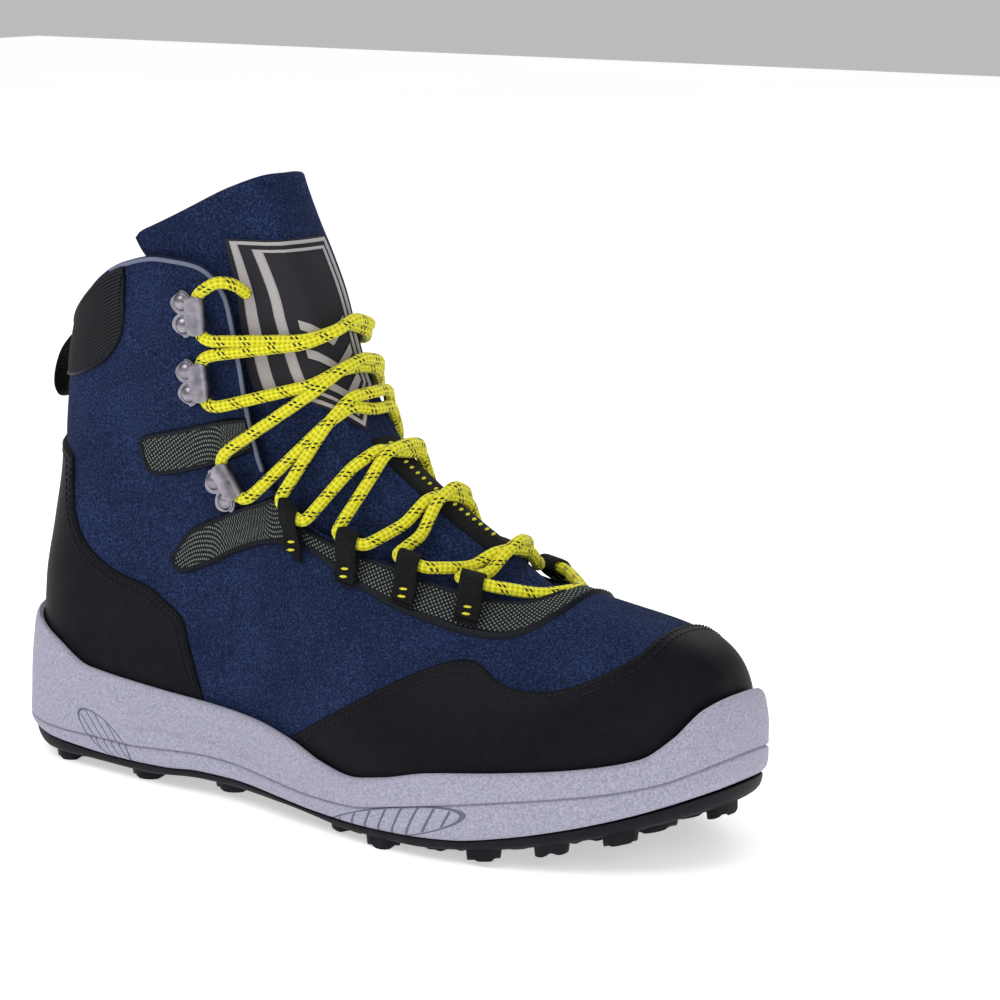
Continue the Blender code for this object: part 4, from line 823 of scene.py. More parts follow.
# Painted shade and highlight: the yarns are tinted dark yellow in the hollows between them and pale yellow on their
# crests, after the bumps that raise them.
body = ramp(tree, maths(tree, 'ADD', maths(tree, 'MULTIPLY', yarn_bumps_and_shade, 0.35), 0.5),
            (0.15, "#a9a30c"), (0.5, "#dcd722"), (0.85, "#ece94a"))
tree.links.new(add_node(tree, "ShaderNodeMix", {0: flecks, 6: body, 7: srgb("#14151c")}, data_type='RGBA').outputs[2],
               shader.inputs["Base Color"])
relief(tree, shader, yarn_bumps_and_shade, 0.25, 0.8)

# %% Rubber, foam and metal
# EVA foam, moulded: pale grey lilac, a fine dark speckle, a dull sheen. Short ribs are moulded in two fans, their
# grooves painted darker as shade.
FOAM, tree, shader = start_material("speckled_lilac_foam", "#9f9eb0", 0.6)
place = add_node(tree, "ShaderNodeTexCoord").outputs["Object"]
speckle = noise(tree, 0.8, 2.0)
grey = ramp(tree, speckle, (0.30, "#8c8b9d"), (0.5, "#9f9eb0"), (0.70, "#aeadbe"))
split = add_node(tree, "ShaderNodeSeparateXYZ", {"Vector": place})
x_mm = maths(tree, 'ADD', maths(tree, 'MULTIPLY', split.outputs["X"], 1000.0), ORIGIN_X)
z_mm = maths(tree, 'MULTIPLY', split.outputs["Z"], 1000.0)


def rib_fan(middle, size, lean, pitch, tilt):
    """Mask of thin slanted grooves within an ellipse of the side view, and of the ellipse's rim; it sets their depth
    and their painted shade.
    """
    dx, dz = maths(tree, 'SUBTRACT', x_mm, middle[0]), maths(tree, 'SUBTRACT', z_mm, middle[1])
    cosine, sine = math.cos(tilt), math.sin(tilt)
    ahead = maths(tree, 'ADD', maths(tree, 'MULTIPLY', dx, cosine), maths(tree, 'MULTIPLY', dz, sine))
    above = maths(tree, 'SUBTRACT', maths(tree, 'MULTIPLY', dz, cosine), maths(tree, 'MULTIPLY', dx, sine))
    reach = maths(tree, 'ADD', maths(tree, 'POWER', maths(tree, 'DIVIDE', ahead, size[0]), 2.0),
                  maths(tree, 'POWER', maths(tree, 'DIVIDE', above, size[1]), 2.0))
    within = maths(tree, 'LESS_THAN', reach, 0.86)
    rim = maths(tree, 'MULTIPLY', maths(tree, 'LESS_THAN', reach, 1.06), maths(tree, 'GREATER_THAN', reach, 0.90))
    slide = maths(tree, 'DIVIDE', maths(tree, 'SUBTRACT', dx, maths(tree, 'MULTIPLY', dz, lean)), pitch)
    off_line = maths(tree, 'ABSOLUTE', maths(tree, 'SUBTRACT', maths(tree, 'FRACT', slide), 0.5))
    line = maths(tree, 'LESS_THAN', off_line, 0.085)
    return maths(tree, 'MAXIMUM', maths(tree, 'MULTIPLY', line, within), rim)


grooves_and_painted_shade = maths(tree, 'MAXIMUM', rib_fan((58.0, 15.5), (15.5, 5.6), -0.95, 4.2, math.radians(-28)),
              rib_fan((205.0, 11.5), (32.0, 5.4), 0.55, 6.1, math.radians(14)))
# Painted shade: the grooves and the fans' rims are coloured #66667a, darker than the foam, as shade in them.
tree.links.new(add_node(tree, "ShaderNodeMix", {0: grooves_and_painted_shade, 6: grey, 7: srgb("#66667a")}, data_type='RGBA').outputs[2],
               shader.inputs["Base Color"])
relief(tree, shader, maths(tree, 'SUBTRACT', maths(tree, 'MULTIPLY', speckle, 0.15), grooves_and_painted_shade), 0.6, 0.8)

# Vulcanised rubber: near black and dull, slightly mottled
RUBBER, tree, shader = start_material("matt_black_rubber", "#101217", 0.6)
tint(tree, shader, noise(tree, 6.0, 3.0), (0.35, "#0e1014"), (0.7, "#16181d"))
relief(tree, shader, noise(tree, 0.9, 3.0), 0.15, 0.6)

# Zinc with a pewter finish, tumbled: satin, with faint cloudy wear
PEWTER, tree, shader = start_material("tumbled_pewter", "#8a8690", 0.34, 1.0, Specular_IOR_Level=0.5)
wear = noise(tree, 3.0, 3.0)
tint(tree, shader, wear, (0.3, "#77737c"), (0.7, "#9f9ba4"))
tree.links.new(maths(tree, 'ADD', maths(tree, 'MULTIPLY', wear, 0.2), 0.24), shader.inputs["Roughness"])
relief(tree, shader, noise(tree, 0.6, 2.0), 0.03, 0.5)

# Soft moulded PVC of the badge: a charcoal ground and raised pale lines
BADGE_DARK, tree, shader = start_material("charcoal_moulded_pvc", "#26262c", 0.55)
relief(tree, shader, noise(tree, 0.8, 2.0), 0.06, 0.5)
BADGE_PALE, tree, shader = start_material("pale_moulded_pvc", "#a8a3a4", 0.5)
relief(tree, shader, noise(tree, 0.8, 2.0), 0.06, 0.5)

# Bright moulded rubber of the plate in the arch
PLATE, tree, shader = start_material("yellow_moulded_rubber", "#cfd62b", 0.5)
tint(tree, shader, noise(tree, 4.0, 2.0), (0.3, "#c3ca22"), (0.7, "#d9e038"))
relief(tree, shader, noise(tree, 0.9, 2.0), 0.08, 0.5)

# Studio floor of opal acrylic, lit from below to a plain white
FLOOR_PAINT, tree, shader = start_material("pale_studio_floor", "#fbfbfc", 0.75,
                                           Emission_Color=(1.0, 1.0, 1.0, 1.0), Emission_Strength=0.5)
tint(tree, shader, noise(tree, 400.0, 1.0), (0.3, "#fafafb"), (0.7, "#fdfdfe"))
bm = bmesh.new()
bmesh.ops.create_grid(bm, x_segments=2, y_segments=2, size=4.0)
mesh = bpy.data.meshes.new("studio_floor")
bm.to_mesh(mesh)
bm.free()
mesh.materials.append(FLOOR_PAINT)
studio_floor = bpy.data.objects.new("studio_floor", mesh)
bpy.context.scene.collection.objects.link(studio_floor)
studio_floor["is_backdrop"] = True
print("finishes:", len(bpy.data.materials))

# %% [markdown]
# ## Upper
# The upper is cut from one cloth and closed at the heel. It could be modelled by hand and subdivided, but the
# skin is known as a function, so a fine grid is laid on it: up the outside, round the padded collar's edge,
# and down again on the inside, where it is lining.

# %% Upper and its lining
def wall_at(turn, points):
    """Wall thickness: padded towards the collar."""
    share = side_and_share(turn)[1]
    padded = ease(points[..., 2], 0.53 * HEIGHT, 0.73 * HEIGHT) * (1 - ease(share, 0.33, 0.40))
    return WALL + (COLLAR_WALL - WALL) * padded


turn = np.linspace(0, 2, 321)[:, None]
ring = np.linspace(0, 1, 66)[None, :]
outside = skin(turn, ring)
top, normal = outside[:, -1], skin_normal(turn[:, 0], 1.0)
rise = unit(top - skin(turn[:, 0], 0.985))
half = (wall_at(turn[:, 0], top) / 2)[:, None]
lip = [top + rise * half * math.sin(a) * 0.9 - normal * half * (1 - math.cos(a))
       for a in np.linspace(0, math.pi, 8)[1:-1]]
down = np.linspace(1, 0, 34)[None, :]
within = bare_skin(turn, down)
within = within - skin_normal(turn, down) * wall_at(turn, within)[..., None]
points = np.concatenate((outside, np.stack(lip, 1), within), axis=1)
outer_rows = outside.shape[1] + len(lip) // 2
bm = bmesh.new()
lay_grid(bm, points, finish=lambda i, j: 0 if j < outer_rows else 1)
finish_piece("upper_cloth", bm, [NAVY, LINING], ["upper"], 50)

# %% [markdown]
# ## Panels on the upper
# The counter, the rand, the bands and the eyestay are flat cut pieces pressed or sewn on. Each one's outline is
# known from the side, so at every step round the boot its lower and upper edge are found on the skin, and a
# strip of grid is laid between them with its rim rolled down. The mesh bands have a smooth film frame.

# %% Finding a panel's edges on the skin
STEPS = 800
GRID_TURNS, GRID_RINGS = np.arange(STEPS) / (STEPS / 2), np.linspace(0, 1, 121)
SKIN_GRID = bare_skin(GRID_TURNS[:, None], GRID_RINGS[None, :])
DEPTHS = {}


def outline_of(edge, corners=(), steps=5):
    """Outline in the side view: a curve through its edge, then plain corners."""
    return np.array([tuple(p) for p in spline(edge, steps)] + list(corners))


def depth_in(outline, x, z):
    """Distance inside an outline, negative outside."""
    a, b = outline, np.roll(outline, -1, axis=0)
    edge = b - a
    best = np.full(x.shape, 1e9)
    count = np.zeros(x.shape, int)
    for (ax, az), (ex, ez) in zip(a, edge):
        along = np.clip(((x - ax) * ex + (z - az) * ez) / max(ex * ex + ez * ez, 1e-9), 0, 1)
        best = np.minimum(best, np.hypot(x - ax - along * ex, z - az - along * ez))
        if ez:
            count += ((az > z) != (az + ez > z)) & (x < ax + ex * (z - az) / ez)
    return np.where(count % 2 == 1, best, -best)


def rims(outline, window, inset=0.0):
    """Turns across a panel, with the rings of its lower edge, upper edge and deepest place at each."""
    k = np.arange(round(window[0] * STEPS / 2), round(window[1] * STEPS / 2) + 1)
    place = (outline.tobytes(), window)
    if place not in DEPTHS:
        points = SKIN_GRID[k % STEPS]
        DEPTHS[place] = depth_in(outline, points[..., 0], points[..., 2])
    depth = DEPTHS[place] - inset
    found = np.flatnonzero(depth.max(axis=1) > 0)
    runs = np.split(found, np.flatnonzero(np.diff(found) > 1) + 1)
    found = max(runs, key=len)
    last = len(GRID_RINGS) - 1
    rows = []
    for i in found:
        d = depth[i]
        within = np.flatnonzero(d > 0)
        a, b = within[0], within[-1]
        low = 0.0 if a == 0 else (a - d[a] / (d[a] - d[a - 1])) / last
        high = 1.0 if b == last else (b + d[b] / (d[b] - d[b + 1])) / last
        rows.append((k[i] / (STEPS / 2), low, high, GRID_RINGS[d.argmax()]))
    for end, step in ((0, -1), (-1, 1)):
        i = found[end]
        if 0 <= i + step < len(k):
            here, there = depth[i].max(), depth[i + step].max()
            turn = (k[i] + step * here / (here - there)) / (STEPS / 2)
            middle = rows[end][3]
            rows.insert(0 if end == 0 else len(rows), (turn, middle, middle, middle))
    return np.array(rows).T


# %% Laying a panel
def lay_panel(bm, outline, window, columns, across, frame=0.0, low_lift=0.95, high_lift=1.35, puff=0.0):
    """Adds a panel with a rolled rim; a frame gets material 0 and the field inside it material 1."""
    turns, low, high, middle = rims(outline, window)
    share = np.linspace(0, 1, columns)
    share = 0.55 * share + 0.45 * (1 - np.cos(np.pi * share)) / 2
    turn = turns[0] + (turns[-1] - turns[0]) * share
    lower, upper, peak = (np.interp(turn, turns, row) for row in (low, high, middle))
    length = column_length(turn)
    if frame:
        inner = rims(outline, window, frame)
        in_low, in_high = np.interp(turn, inner[0], inner[1]), np.interp(turn, inner[0], inner[2])
        outside = (turn < inner[0][0]) | (turn > inner[0][-1])
        in_low, in_high = np.where(outside, peak, in_low), np.where(outside, peak, in_high)
        in_high = np.where(upper > 0.999, np.minimum(in_high, 1 - frame / length), in_high)
        in_high = np.maximum(in_high, in_low)
        shares = [0, 0.12, 0.35, 0.7, 0.9, 1.0]
        lifts = [-0.1, 0.85, high_lift, high_lift + 0.05, high_lift - 0.1, low_lift]
        field = np.linspace(0, 1, across)[1:-1]
        rings = ([lower + (in_low - lower) * s for s in shares] + [in_low + (in_high - in_low) * s for s in field]
                 + [upper + (in_high - upper) * s for s in shares[::-1]])
        heights = lifts + [low_lift + puff * math.sin(math.pi * s) for s in field] + lifts[::-1]
        edge = len(shares) - 1
    else:
        span = (upper - lower) * length
        scale = np.minimum(1, span / 6) / length
        shares, lifts = [0, 0.3, 0.9, 2.0], [-0.15, 0.8, 1.2, high_lift]
        field = np.linspace(0, 1, across)
        rings = ([lower + scale * s for s in shares[:-1]]
                 + [lower + scale * 2 + (upper - lower - scale * 4) * s for s in field]
                 + [upper - scale * s for s in shares[-2::-1]])
        heights = lifts[:-1] + [high_lift + puff * math.sin(math.pi * s) for s in field] + lifts[-2::-1]
        edge = 0
    rings = np.stack(rings, 1)
    points = skin(turn[:, None], rings, np.array(heights)[None, :])
    middle_line = points[:, points.shape[1] // 2]
    u = run_along(middle_line)
    v = (rings - rings.mean()) * length[:, None]
    uv = np.stack(np.broadcast_arrays(u[:, None], v), -1)
    last = points.shape[1] - 1
    lay_grid(bm, points, uv, lambda i, j: 1 if edge and edge <= j < last - edge else 0)


def rim_line(outline, window, inset, upper=True, lift=1.45):
    """Path along a panel's upper or lower rim, a distance inside it, with the skin's normals."""
    turns, low, high, _ = rims(outline, window, inset)
    ring = high if upper else low
    keep = (ring < 0.999) & (ring > 0.001)
    turn, ring = turns[keep], ring[keep]
    return skin(turn, ring, lift), skin_normal(turn, ring)


# %% Heel counter and toe rand
COUNTER = outline_of(COUNTER_EDGE, [(-12, 10)])
RAND = outline_of(RAND_EDGE, [(320, 95), (320, 8)])
for name, shape, window, columns, node in (("counter_shell", COUNTER, (-0.5, 0.5), 240, "heel_counter"),
                                           ("rand_shell", RAND, (0.5, 1.5), 280, "toe_rand")):
    bm = bmesh.new()
    lay_panel(bm, shape, window, columns, 30)
    for inset in (1.7, 4.2):
        path, normals = rim_line(shape, window, inset)
        lay_stitches(bm, path, normals, 2.6, 2.0, 0.55, 1)
    finish_piece(name, bm, [BLACK, DARK_THREAD], [node])

# %% Ankle bands and eyestay
BAND = outline_of(BAND_EDGE + BAND_EDGE[:1])
EYESTAY = outline_of(EYESTAY_EDGE)
bm = bmesh.new()
lay_panel(bm, EYESTAY, (0.1, 1.9), 420, 22, frame=2.1)
for window in ((0.1, 1.0), (1.0, 1.9)):
    path, normals = rim_line(EYESTAY, window, 1.1, False)
    lay_stitches(bm, path, normals, 2.4, 1.8, 0.5, 2)
finish_piece("eyestay_mesh", bm, [FRAME, MESH, DARK_THREAD], ["eyestay_lateral", "eyestay_medial"])
for label, window in (("lateral", (0.02, 1.0)), ("medial", (1.0, 1.98))):
    bm = bmesh.new()
    lay_panel(bm, BAND, window, 110, 14, frame=1.9)
    for upper in (False, True):
        path, normals = rim_line(BAND, window, 1.0, upper)
        lay_stitches(bm, path, normals, 2.4, 1.8, 0.5, 2)
    finish_piece("ankle_mesh_" + label, bm, [FRAME, MESH, DARK_THREAD], ["ankle_band_" + label])

# %% Ribbed panel at the back of the collar
PANEL = outline_of(PANEL_EDGE[:-1], [(-12, 0.9031 * HEIGHT)])
bm = bmesh.new()
lay_panel(bm, PANEL, (-0.5, 0.5), 150, 20, frame=1.6, low_lift=1.0, high_lift=1.3, puff=0.5)
finish_piece("collar_ribs", bm, [FRAME, RIBS], ["collar_panel"])

# %% [markdown]
# ## Piping
# A thin pale piping is sewn into the edge of the collar and runs down the front edge of the shaft on both
# sides. It is one small tube along the skin's top line.

# %% Collar piping
for label, base, sign in (("lateral", 0.0, 1), ("medial", 2.0, -1)):
    turn = base + sign * np.linspace(0.195, 0.446, 120)
    path = spaced(skin(turn, 1.0, -0.2) + unit(skin(turn, 1.0) - skin(turn, 0.985)) * 0.5, 0.9)
    bm = bmesh.new()
    lay_tube(bm, path, 0.85, 8)
    finish_piece("piping_" + label, bm, [PIPING], sharp=80)

# %% [markdown]
# ## Midsole
# The midsole is moulded foam: a cup with a soft rounded side, a fine groove all along it, a shallow recess
# beside the heel and a thin top edge against the upper. A grid runs from the joint with the outsole up the
# side, over the edge and down the inside, and its points are pressed in where the mould has a line.

# %% Cup midsole
CUP_CLEARANCE, CUP_LIP = OVERLAY + 3.2 * GAP, 2.6
# Share of the side's height, swell; then the recess beside the heel as x, z of its lower and upper edge
BULGE = [(0, -1.6), (0.06, -0.5), (0.2, 0.4), (0.42, 0.72), (0.58, 0.85), (0.75, 1.1), (0.93, 0.45),
         (0.98, -0.05), (1.0, -0.7)]
RECESS_LOW = [(60, 24.0), (72.6, 20.6), (79.1, 21.1), (99.1, 22.1), (129.9, 19.8), (165, 15.4)]
RECESS_TOP = [(60, 24.0), (72.6, 27.2), (79.9, 28.6), (97.2, 30.0), (129.9, 29.0), (165, 24.0)]
turn = np.linspace(0, 2, 521)
side, share = side_and_share(turn)
edge_x, edge_y = edge_point(side, share, UPPER_INSET)
low, high = smooth(FLOOR, edge_x), smooth(CUP_EDGE, edge_x)
level = np.linspace(0, 1, 7)
wall = cast(np.stack(np.broadcast_arrays(edge_x[:, None], edge_y[:, None],
                                         low[:, None] + (high - low)[:, None] * level), -1))
ring_of = wall[:-1]
along = np.roll(ring_of, -1, axis=0) - np.roll(ring_of, 1, axis=0)
out = np.cross(along, np.gradient(ring_of, axis=1))
out[..., 2] = 0
out = unit(np.concatenate((out, out[:1])))
foot_x, foot_y = edge_point(side, share, 2.6)
joint = smooth(SOLE_JOINT, foot_x) + GAP / 2
top = wall[:, -1] + out[:, -1] * (CUP_CLEARANCE + CUP_LIP)
top[:, 2] = smooth(CUP_EDGE, top[:, 0])
bottom = np.stack((foot_x, foot_y, joint), -1)
tall = top[:, 2] - joint
groove = (smooth(GROOVE, foot_x) - joint) / tall
fit = np.minimum(1.0, groove * tall / 3.4)
near = np.array([-1.5, -0.9, -0.5, -0.25, 0.0, 0.25, 0.5, 0.9, 1.5])
climb = [(groove - 1.9 * fit / tall) * s for s in np.linspace(0, 1, 7)]
climb += [groove + step * fit / tall for step in near]
climb += [groove + 2.2 / tall + (0.97 - groove - 2.2 / tall) * s for s in np.linspace(0, 1, 40)]
climb += [np.full_like(groove, 0.985), np.ones_like(groove)]
climb = np.stack(climb, 1)
bend = np.where(climb < groove[:, None], climb / groove[:, None] / 2,
                0.5 + (climb - groove[:, None]) / (1 - groove[:, None]) / 2)
body = bottom[:, None] + (top - bottom)[:, None] * climb[..., None]
press = smooth(BULGE, bend) - 1.05 * fit[:, None] * np.exp(-(((climb - groove[:, None]) * tall[:, None]) / 0.42) ** 2)
x, z = body[..., 0], body[..., 2]
recess = (ease(z - smooth(RECESS_LOW, x), 0, 0.8) * ease(smooth(RECESS_TOP, x) - z, 0, 1.6)
          * ease(x, 66, 74) * (1 - ease(x, 120, 168)))
press = press - 0.85 * recess
body = body + out[:, 2][:, None] * press[..., None]
lip = [wall[:, -1] + out[:, -1] * (CUP_CLEARANCE + 1.3) + np.array([0, 0, 0.35]),
       wall[:, -1] + out[:, -1] * (CUP_CLEARANCE + 0.3) + np.array([0, 0, 0.1])]
lip[0][:, 2] = top[:, 2] + 0.3
inner = wall[:, ::-1] + out[:, ::-1] * CUP_CLEARANCE
points = np.concatenate((body, np.stack(lip, 1), inner, body[:, :1]), axis=1)
bm = bmesh.new()
lay_grid(bm, points)
finish_piece("midsole_foam", bm, [FOAM], ["midsole"], 60)

# %% [markdown]
# ## Outsole
# The outsole is vulcanised rubber: a shallow tray whose rim shows under the foam, with rows of round lugs. Each
# lug is a low fan of three petals, laid as rings of points by one function; small studs with a pin hole stand
# between them.

# %% Tray of the outsole
share = (1 - np.cos(np.pi * np.linspace(0, 1, 181))) / 2 * 0.5 + np.linspace(0, 1, 181) * 0.5
# Rows down the tray's side: distance out from the outline, share of its height
SIDE_ROWS = [(-0.2, 1.0), (1.1, 1.0), (1.4, 0.94), (1.4, 0.7), (1.1, 0.42), (0.7, 0.25), (0.0, 0.1),
             (-0.8, 0.02), (-1.6, 0.0)]


def tray_row(side, grow, level):
    """Row of the tray along one side."""
    x, y = edge_point(side, share, grow)
    base, roof = smooth(UNDERSIDE, x), smooth(SOLE_JOINT, x) - GAP / 2
    return np.stack((x, y, base + (roof - base) * level), -1)


left = [tray_row(-1.0, grow, level) for grow, level in SIDE_ROWS]
right_side = [tray_row(1.0, grow, level) for grow, level in SIDE_ROWS[::-1]]
under = [left[-1] + (right_side[0] - left[-1]) * s for s in np.linspace(0, 1, 25)[1:-1]]
for row in under:
    row[:, 2] = smooth(UNDERSIDE, row[:, 0])
points = np.stack(left + under + right_side, 1)
bm = bmesh.new()
lay_grid(bm, points)

# %% Lugs, studs and rings
LUG_PITCH_X, LUG_PITCH_Y = 20.9, 21.9
PLATE_AT, PLATE_SIZE, PLATE_TURN = (0.439 * LENGTH, -0.057 * BALL_WIDTH), (42.0, 12.0), math.radians(46)


def within_outline(x, y, room):
    """Whether a form of this radius fits in the sole's outline."""
    side = -1.0 if y < smooth(CENTRE, x) else 1.0
    return room < x < LENGTH - room and abs(y - smooth(CENTRE, x)) < half_width(OUTLINE, side, x, -room)


def clear_of_plate(x, y, room):
    """Whether a form of this radius misses the plate in the arch."""
    dx, dy = x - PLATE_AT[0], y - PLATE_AT[1]
    along = dx * math.cos(PLATE_TURN) + dy * math.sin(PLATE_TURN)
    aside = dy * math.cos(PLATE_TURN) - dx * math.sin(PLATE_TURN)
    return abs(along) > PLATE_SIZE[0] / 2 + room or abs(aside) > PLATE_SIZE[1] / 2 + room


def lay_round(bm, x, y, rings, count, turn, edge):
    """Adds a round form below the tray: rings of radius and depth; edge shapes the radius by angle and ring."""
    columns = np.linspace(0, 2 * np.pi, count + 1)
    points = []
    for k, (radius, depth) in enumerate(rings):
        size = radius * edge(columns, k)
        px = np.clip(x + size * np.cos(columns + turn), 0.6, LENGTH - 0.6)
        py = y + size * np.sin(columns + turn)
        middle = smooth(CENTRE, px)
        py = middle + np.clip(py - middle, -half_width(OUTLINE, -1.0, px, -0.5),
                              half_width(OUTLINE, 1.0, px, -0.5))
        base = smooth(UNDERSIDE, px if radius else np.full(count + 1, x))
        dip = depth(columns) if callable(depth) else depth
        points.append(np.stack((px, py, base - dip), -1))
    lay_grid(bm, np.stack(points, 1))


def petals(columns, k):
    """Three petals with a notch between them."""
    return 1 - 0.10 * np.exp(-(((np.mod(columns, 2 * np.pi / 3) - np.pi / 3) / 0.30) ** 2))


def plain(columns, k):
    """A plain round edge."""
    return np.ones_like(columns)


def fan(deep, shallow):
    """Depth of the fan: high along each petal, low in the three valleys."""
    third = 2 * np.pi / 3
    return lambda columns: shallow + (deep - shallow) * np.minimum(
        1, np.abs(np.mod(columns, third) - third / 2) / 0.55)


lugs = 0
for row in range(16):
    lug_x = 9.0 + row * LUG_PITCH_X
    for column in range(-4, 5):
        lug_y = (column + 0.5 * (row % 2)) * LUG_PITCH_Y + float(smooth(CENTRE, lug_x))
        turn = math.pi * (row % 2)
        if within_outline(lug_x, lug_y, 3.0) and clear_of_plate(lug_x, lug_y, 8.8):
            room = 8.2 if within_outline(lug_x, lug_y, 8.4) else 6.4
            lay_round(bm, lug_x, lug_y, [(room, -0.8), (room * 0.97, 1.0), (room * 0.92, fan(3.7, 2.7)),
                                         (room * 0.86, fan(4.0, 2.6)), (room * 0.45, fan(4.0, 2.4)), (0.0, 3.0)],
                      24, turn, petals)
            lugs += 1
        stud_x, stud_y = lug_x, lug_y + LUG_PITCH_Y / 2
        if within_outline(stud_x, stud_y, 5.5) and clear_of_plate(stud_x, stud_y, 5.6):
            lay_round(bm, stud_x, stud_y, [(3.3, -0.5), (3.2, 1.2), (2.7, 1.6), (1.2, 1.6), (0.8, 0.6), (0.0, 0.5)],
                      14, 0, plain)
finish_piece("outsole_tread", bm, [RUBBER], ["outsole"], 30)
print("lugs:", lugs)

# %% Sole plate and insole
seat = (*PLATE_AT, float(smooth(UNDERSIDE, PLATE_AT[0])) - GAP - 1.1)
corner = Matrix.Translation(seat) @ Matrix.Rotation(PLATE_TURN, 4, 'Z')
bm = bmesh.new()
bmesh.ops.create_grid(bm, x_segments=1, y_segments=1, size=0.5)
bmesh.ops.scale(bm, vec=(PLATE_SIZE[0], PLATE_SIZE[1], 1), verts=bm.verts)
grown = bmesh.ops.extrude_face_region(bm, geom=bm.faces[:])["geom"]
bmesh.ops.translate(bm, vec=(0, 0, -1.1), verts=[v for v in grown if isinstance(v, bmesh.types.BMVert)])
bmesh.ops.translate(bm, vec=(0, 0, 1.1), verts=[v for v in bm.verts if v.co.z > -0.5])
bmesh.ops.recalc_face_normals(bm, faces=bm.faces)
bmesh.ops.bevel(bm, geom=bm.edges[:], offset=0.7, segments=3, profile=0.5, affect='EDGES', material=-1)
face = min(bm.faces, key=lambda f: (round(f.calc_center_median().z, 2), -f.calc_area()))
bmesh.ops.inset_region(bm, faces=[face], thickness=1.2, depth=-0.35)
bmesh.ops.transform(bm, matrix=corner, verts=bm.verts)
finish_piece("arch_plate", bm, [PLATE], ["sole_plate"], 30)

share = np.linspace(0.004, 0.996, 90)
left_edge = np.stack(edge_point(-1.0, share, UPPER_INSET - WALL - 1.4), -1)
right_edge = np.stack(edge_point(1.0, share, UPPER_INSET - WALL - 1.4), -1)
rows = []
for s in np.linspace(0, 1, 25):
    flat = left_edge + (right_edge - left_edge) * s
    cupped = 2.2 * (2 * abs(s - 0.5)) ** 4
    level = smooth(FLOOR, flat[:, 0]) + 2.6 + cupped * (1 - ease(flat[:, 0], 60, 160) * 0.6)
    rows.append(np.stack((flat[:, 0], flat[:, 1], level), -1))
bm = bmesh.new()
lay_grid(bm, np.stack(rows, 1))
footbed = finish_piece("footbed", bm, [LINING], ["insole"], 60)
wall_modifier = footbed.modifiers.new("thickness", 'SOLIDIFY')
wall_modifier.thickness, wall_modifier.offset = 0.0018, -1

# %% [markdown]
# ## Tongue
# The tongue is a padded cloth tab that fills the throat and stands up above the collar. Its grid runs up the
# face, round the hem and down the back. Two sewn channels on each side let it bend under the lace.

# %% Tongue
length = np.linspace(0.0, 1.0, 121)
even = np.linspace(-1, 1, 81)
across = even[None, :] * (1 + 0.09 * ease(length, 0.82, 1.0))[:, None]


def tongue_relief(length, across):
    """Channels sewn along the tongue, with the padding swelling between them."""
    reach = ease(length, 0.10, 0.16) * (1 - ease(length, 0.50, 0.58))
    seams = sum(np.exp(-(((np.abs(across) - place) / 0.022) ** 2)) for place in (0.19, 0.36, 0.52))
    return reach * (0.9 * np.sin(np.pi * np.clip((np.abs(across) - 0.19) / 0.17, 0, 2)) ** 2 * 0.6 - 1.3 * seams)


thick = TONGUE_THICK * np.sqrt(np.clip(1 - (np.clip(np.abs(even) - 0.94, 0, 1) / 0.06) ** 2, 0.02, 1))
face = tongue(length[:, None], across, tongue_relief(length[:, None], across) - (TONGUE_THICK - thick) * 0.3)
top_face = tongue(1.0, across[-1], 0.0)
up_edge = unit(top_face - tongue(0.985, across[-1], 0.0))
top_back = tongue(1.0, across[-1], -thick)
centre = (top_face + top_back) / 2
hem = [centre + (top_face - centre) * math.cos(a) + up_edge * (thick / 2 * math.sin(a))[:, None]
       for a in np.linspace(0, math.pi, 8)[1:-1]]
rear = tongue(length[::-1, None], across[::-1], -thick)
points = np.concatenate((face, np.array(hem), rear), axis=0)
bm = bmesh.new()
lay_grid(bm, points, finish=lambda i, j: 0 if i < 124 else 1)
finish_piece("tongue_cloth", bm, [NAVY, LINING], ["tongue"], 60)

# %% [markdown]
# ## Badge and lace keeper
# The badge is a soft moulded shield. It is drawn flat as a few points, its two borders are inset and raised, and
# it is then cut into small steps and wrapped on the tongue by looking for the tongue's face along level rays.
# The keeper is a strip of webbing down the tongue, tacked with yellow thread.

# %% Badge
face = tongue(np.linspace(0, 1, 161)[:, None], np.linspace(-0.98, 0.98, 121)[None, :], 0.0)
rows, steps = face.shape[:2]
corners = [(i * steps + j, (i + 1) * steps + j, (i + 1) * steps + j + 1, i * steps + j + 1)
           for i in range(rows - 1) for j in range(steps - 1)]
TONGUE_TREE = BVHTree.FromPolygons([tuple(p) for p in face.reshape(-1, 3)], corners)
MIDDLE_Y = float(smooth(CENTRE, 0.4 * LENGTH))


def on_tongue(y, z):
    """Place on the tongue's face at a place in the front view, and the direction out of it."""
    def at(dy, dz):
        hit = TONGUE_TREE.ray_cast(Vector((400, y + dy, z + dz)), Vector((-1, 0, 0)))[0]
        return hit if hit is not None else Vector((100, y + dy, z + dz))
    normal = (at(1.6, 0) - at(-1.6, 0)).cross(at(0, 1.6) - at(0, -1.6)).normalized()
    return at(0, 0), normal if normal.x > 0 else -normal


def flat_face(bm, outline, lift):
    """Face in the front view, kept as lift, y and z until it is wrapped."""
    return bm.faces.new([bm.verts.new((lift, y, z)) for y, z in outline])


def raise_faces(bm, faces, height, finish):
    """Lifts faces into a low relief with its own material."""
    made = bmesh.ops.extrude_face_region(bm, geom=faces)["geom"]
    bmesh.ops.translate(bm, vec=(height, 0, 0), verts=[v for v in made if isinstance(v, bmesh.types.BMVert)])
    for face in (f for f in made if isinstance(f, bmesh.types.BMFace)):
        face.material_index = finish
    bmesh.ops.delete(bm, geom=[f for f in faces if f.is_valid], context='FACES_ONLY')


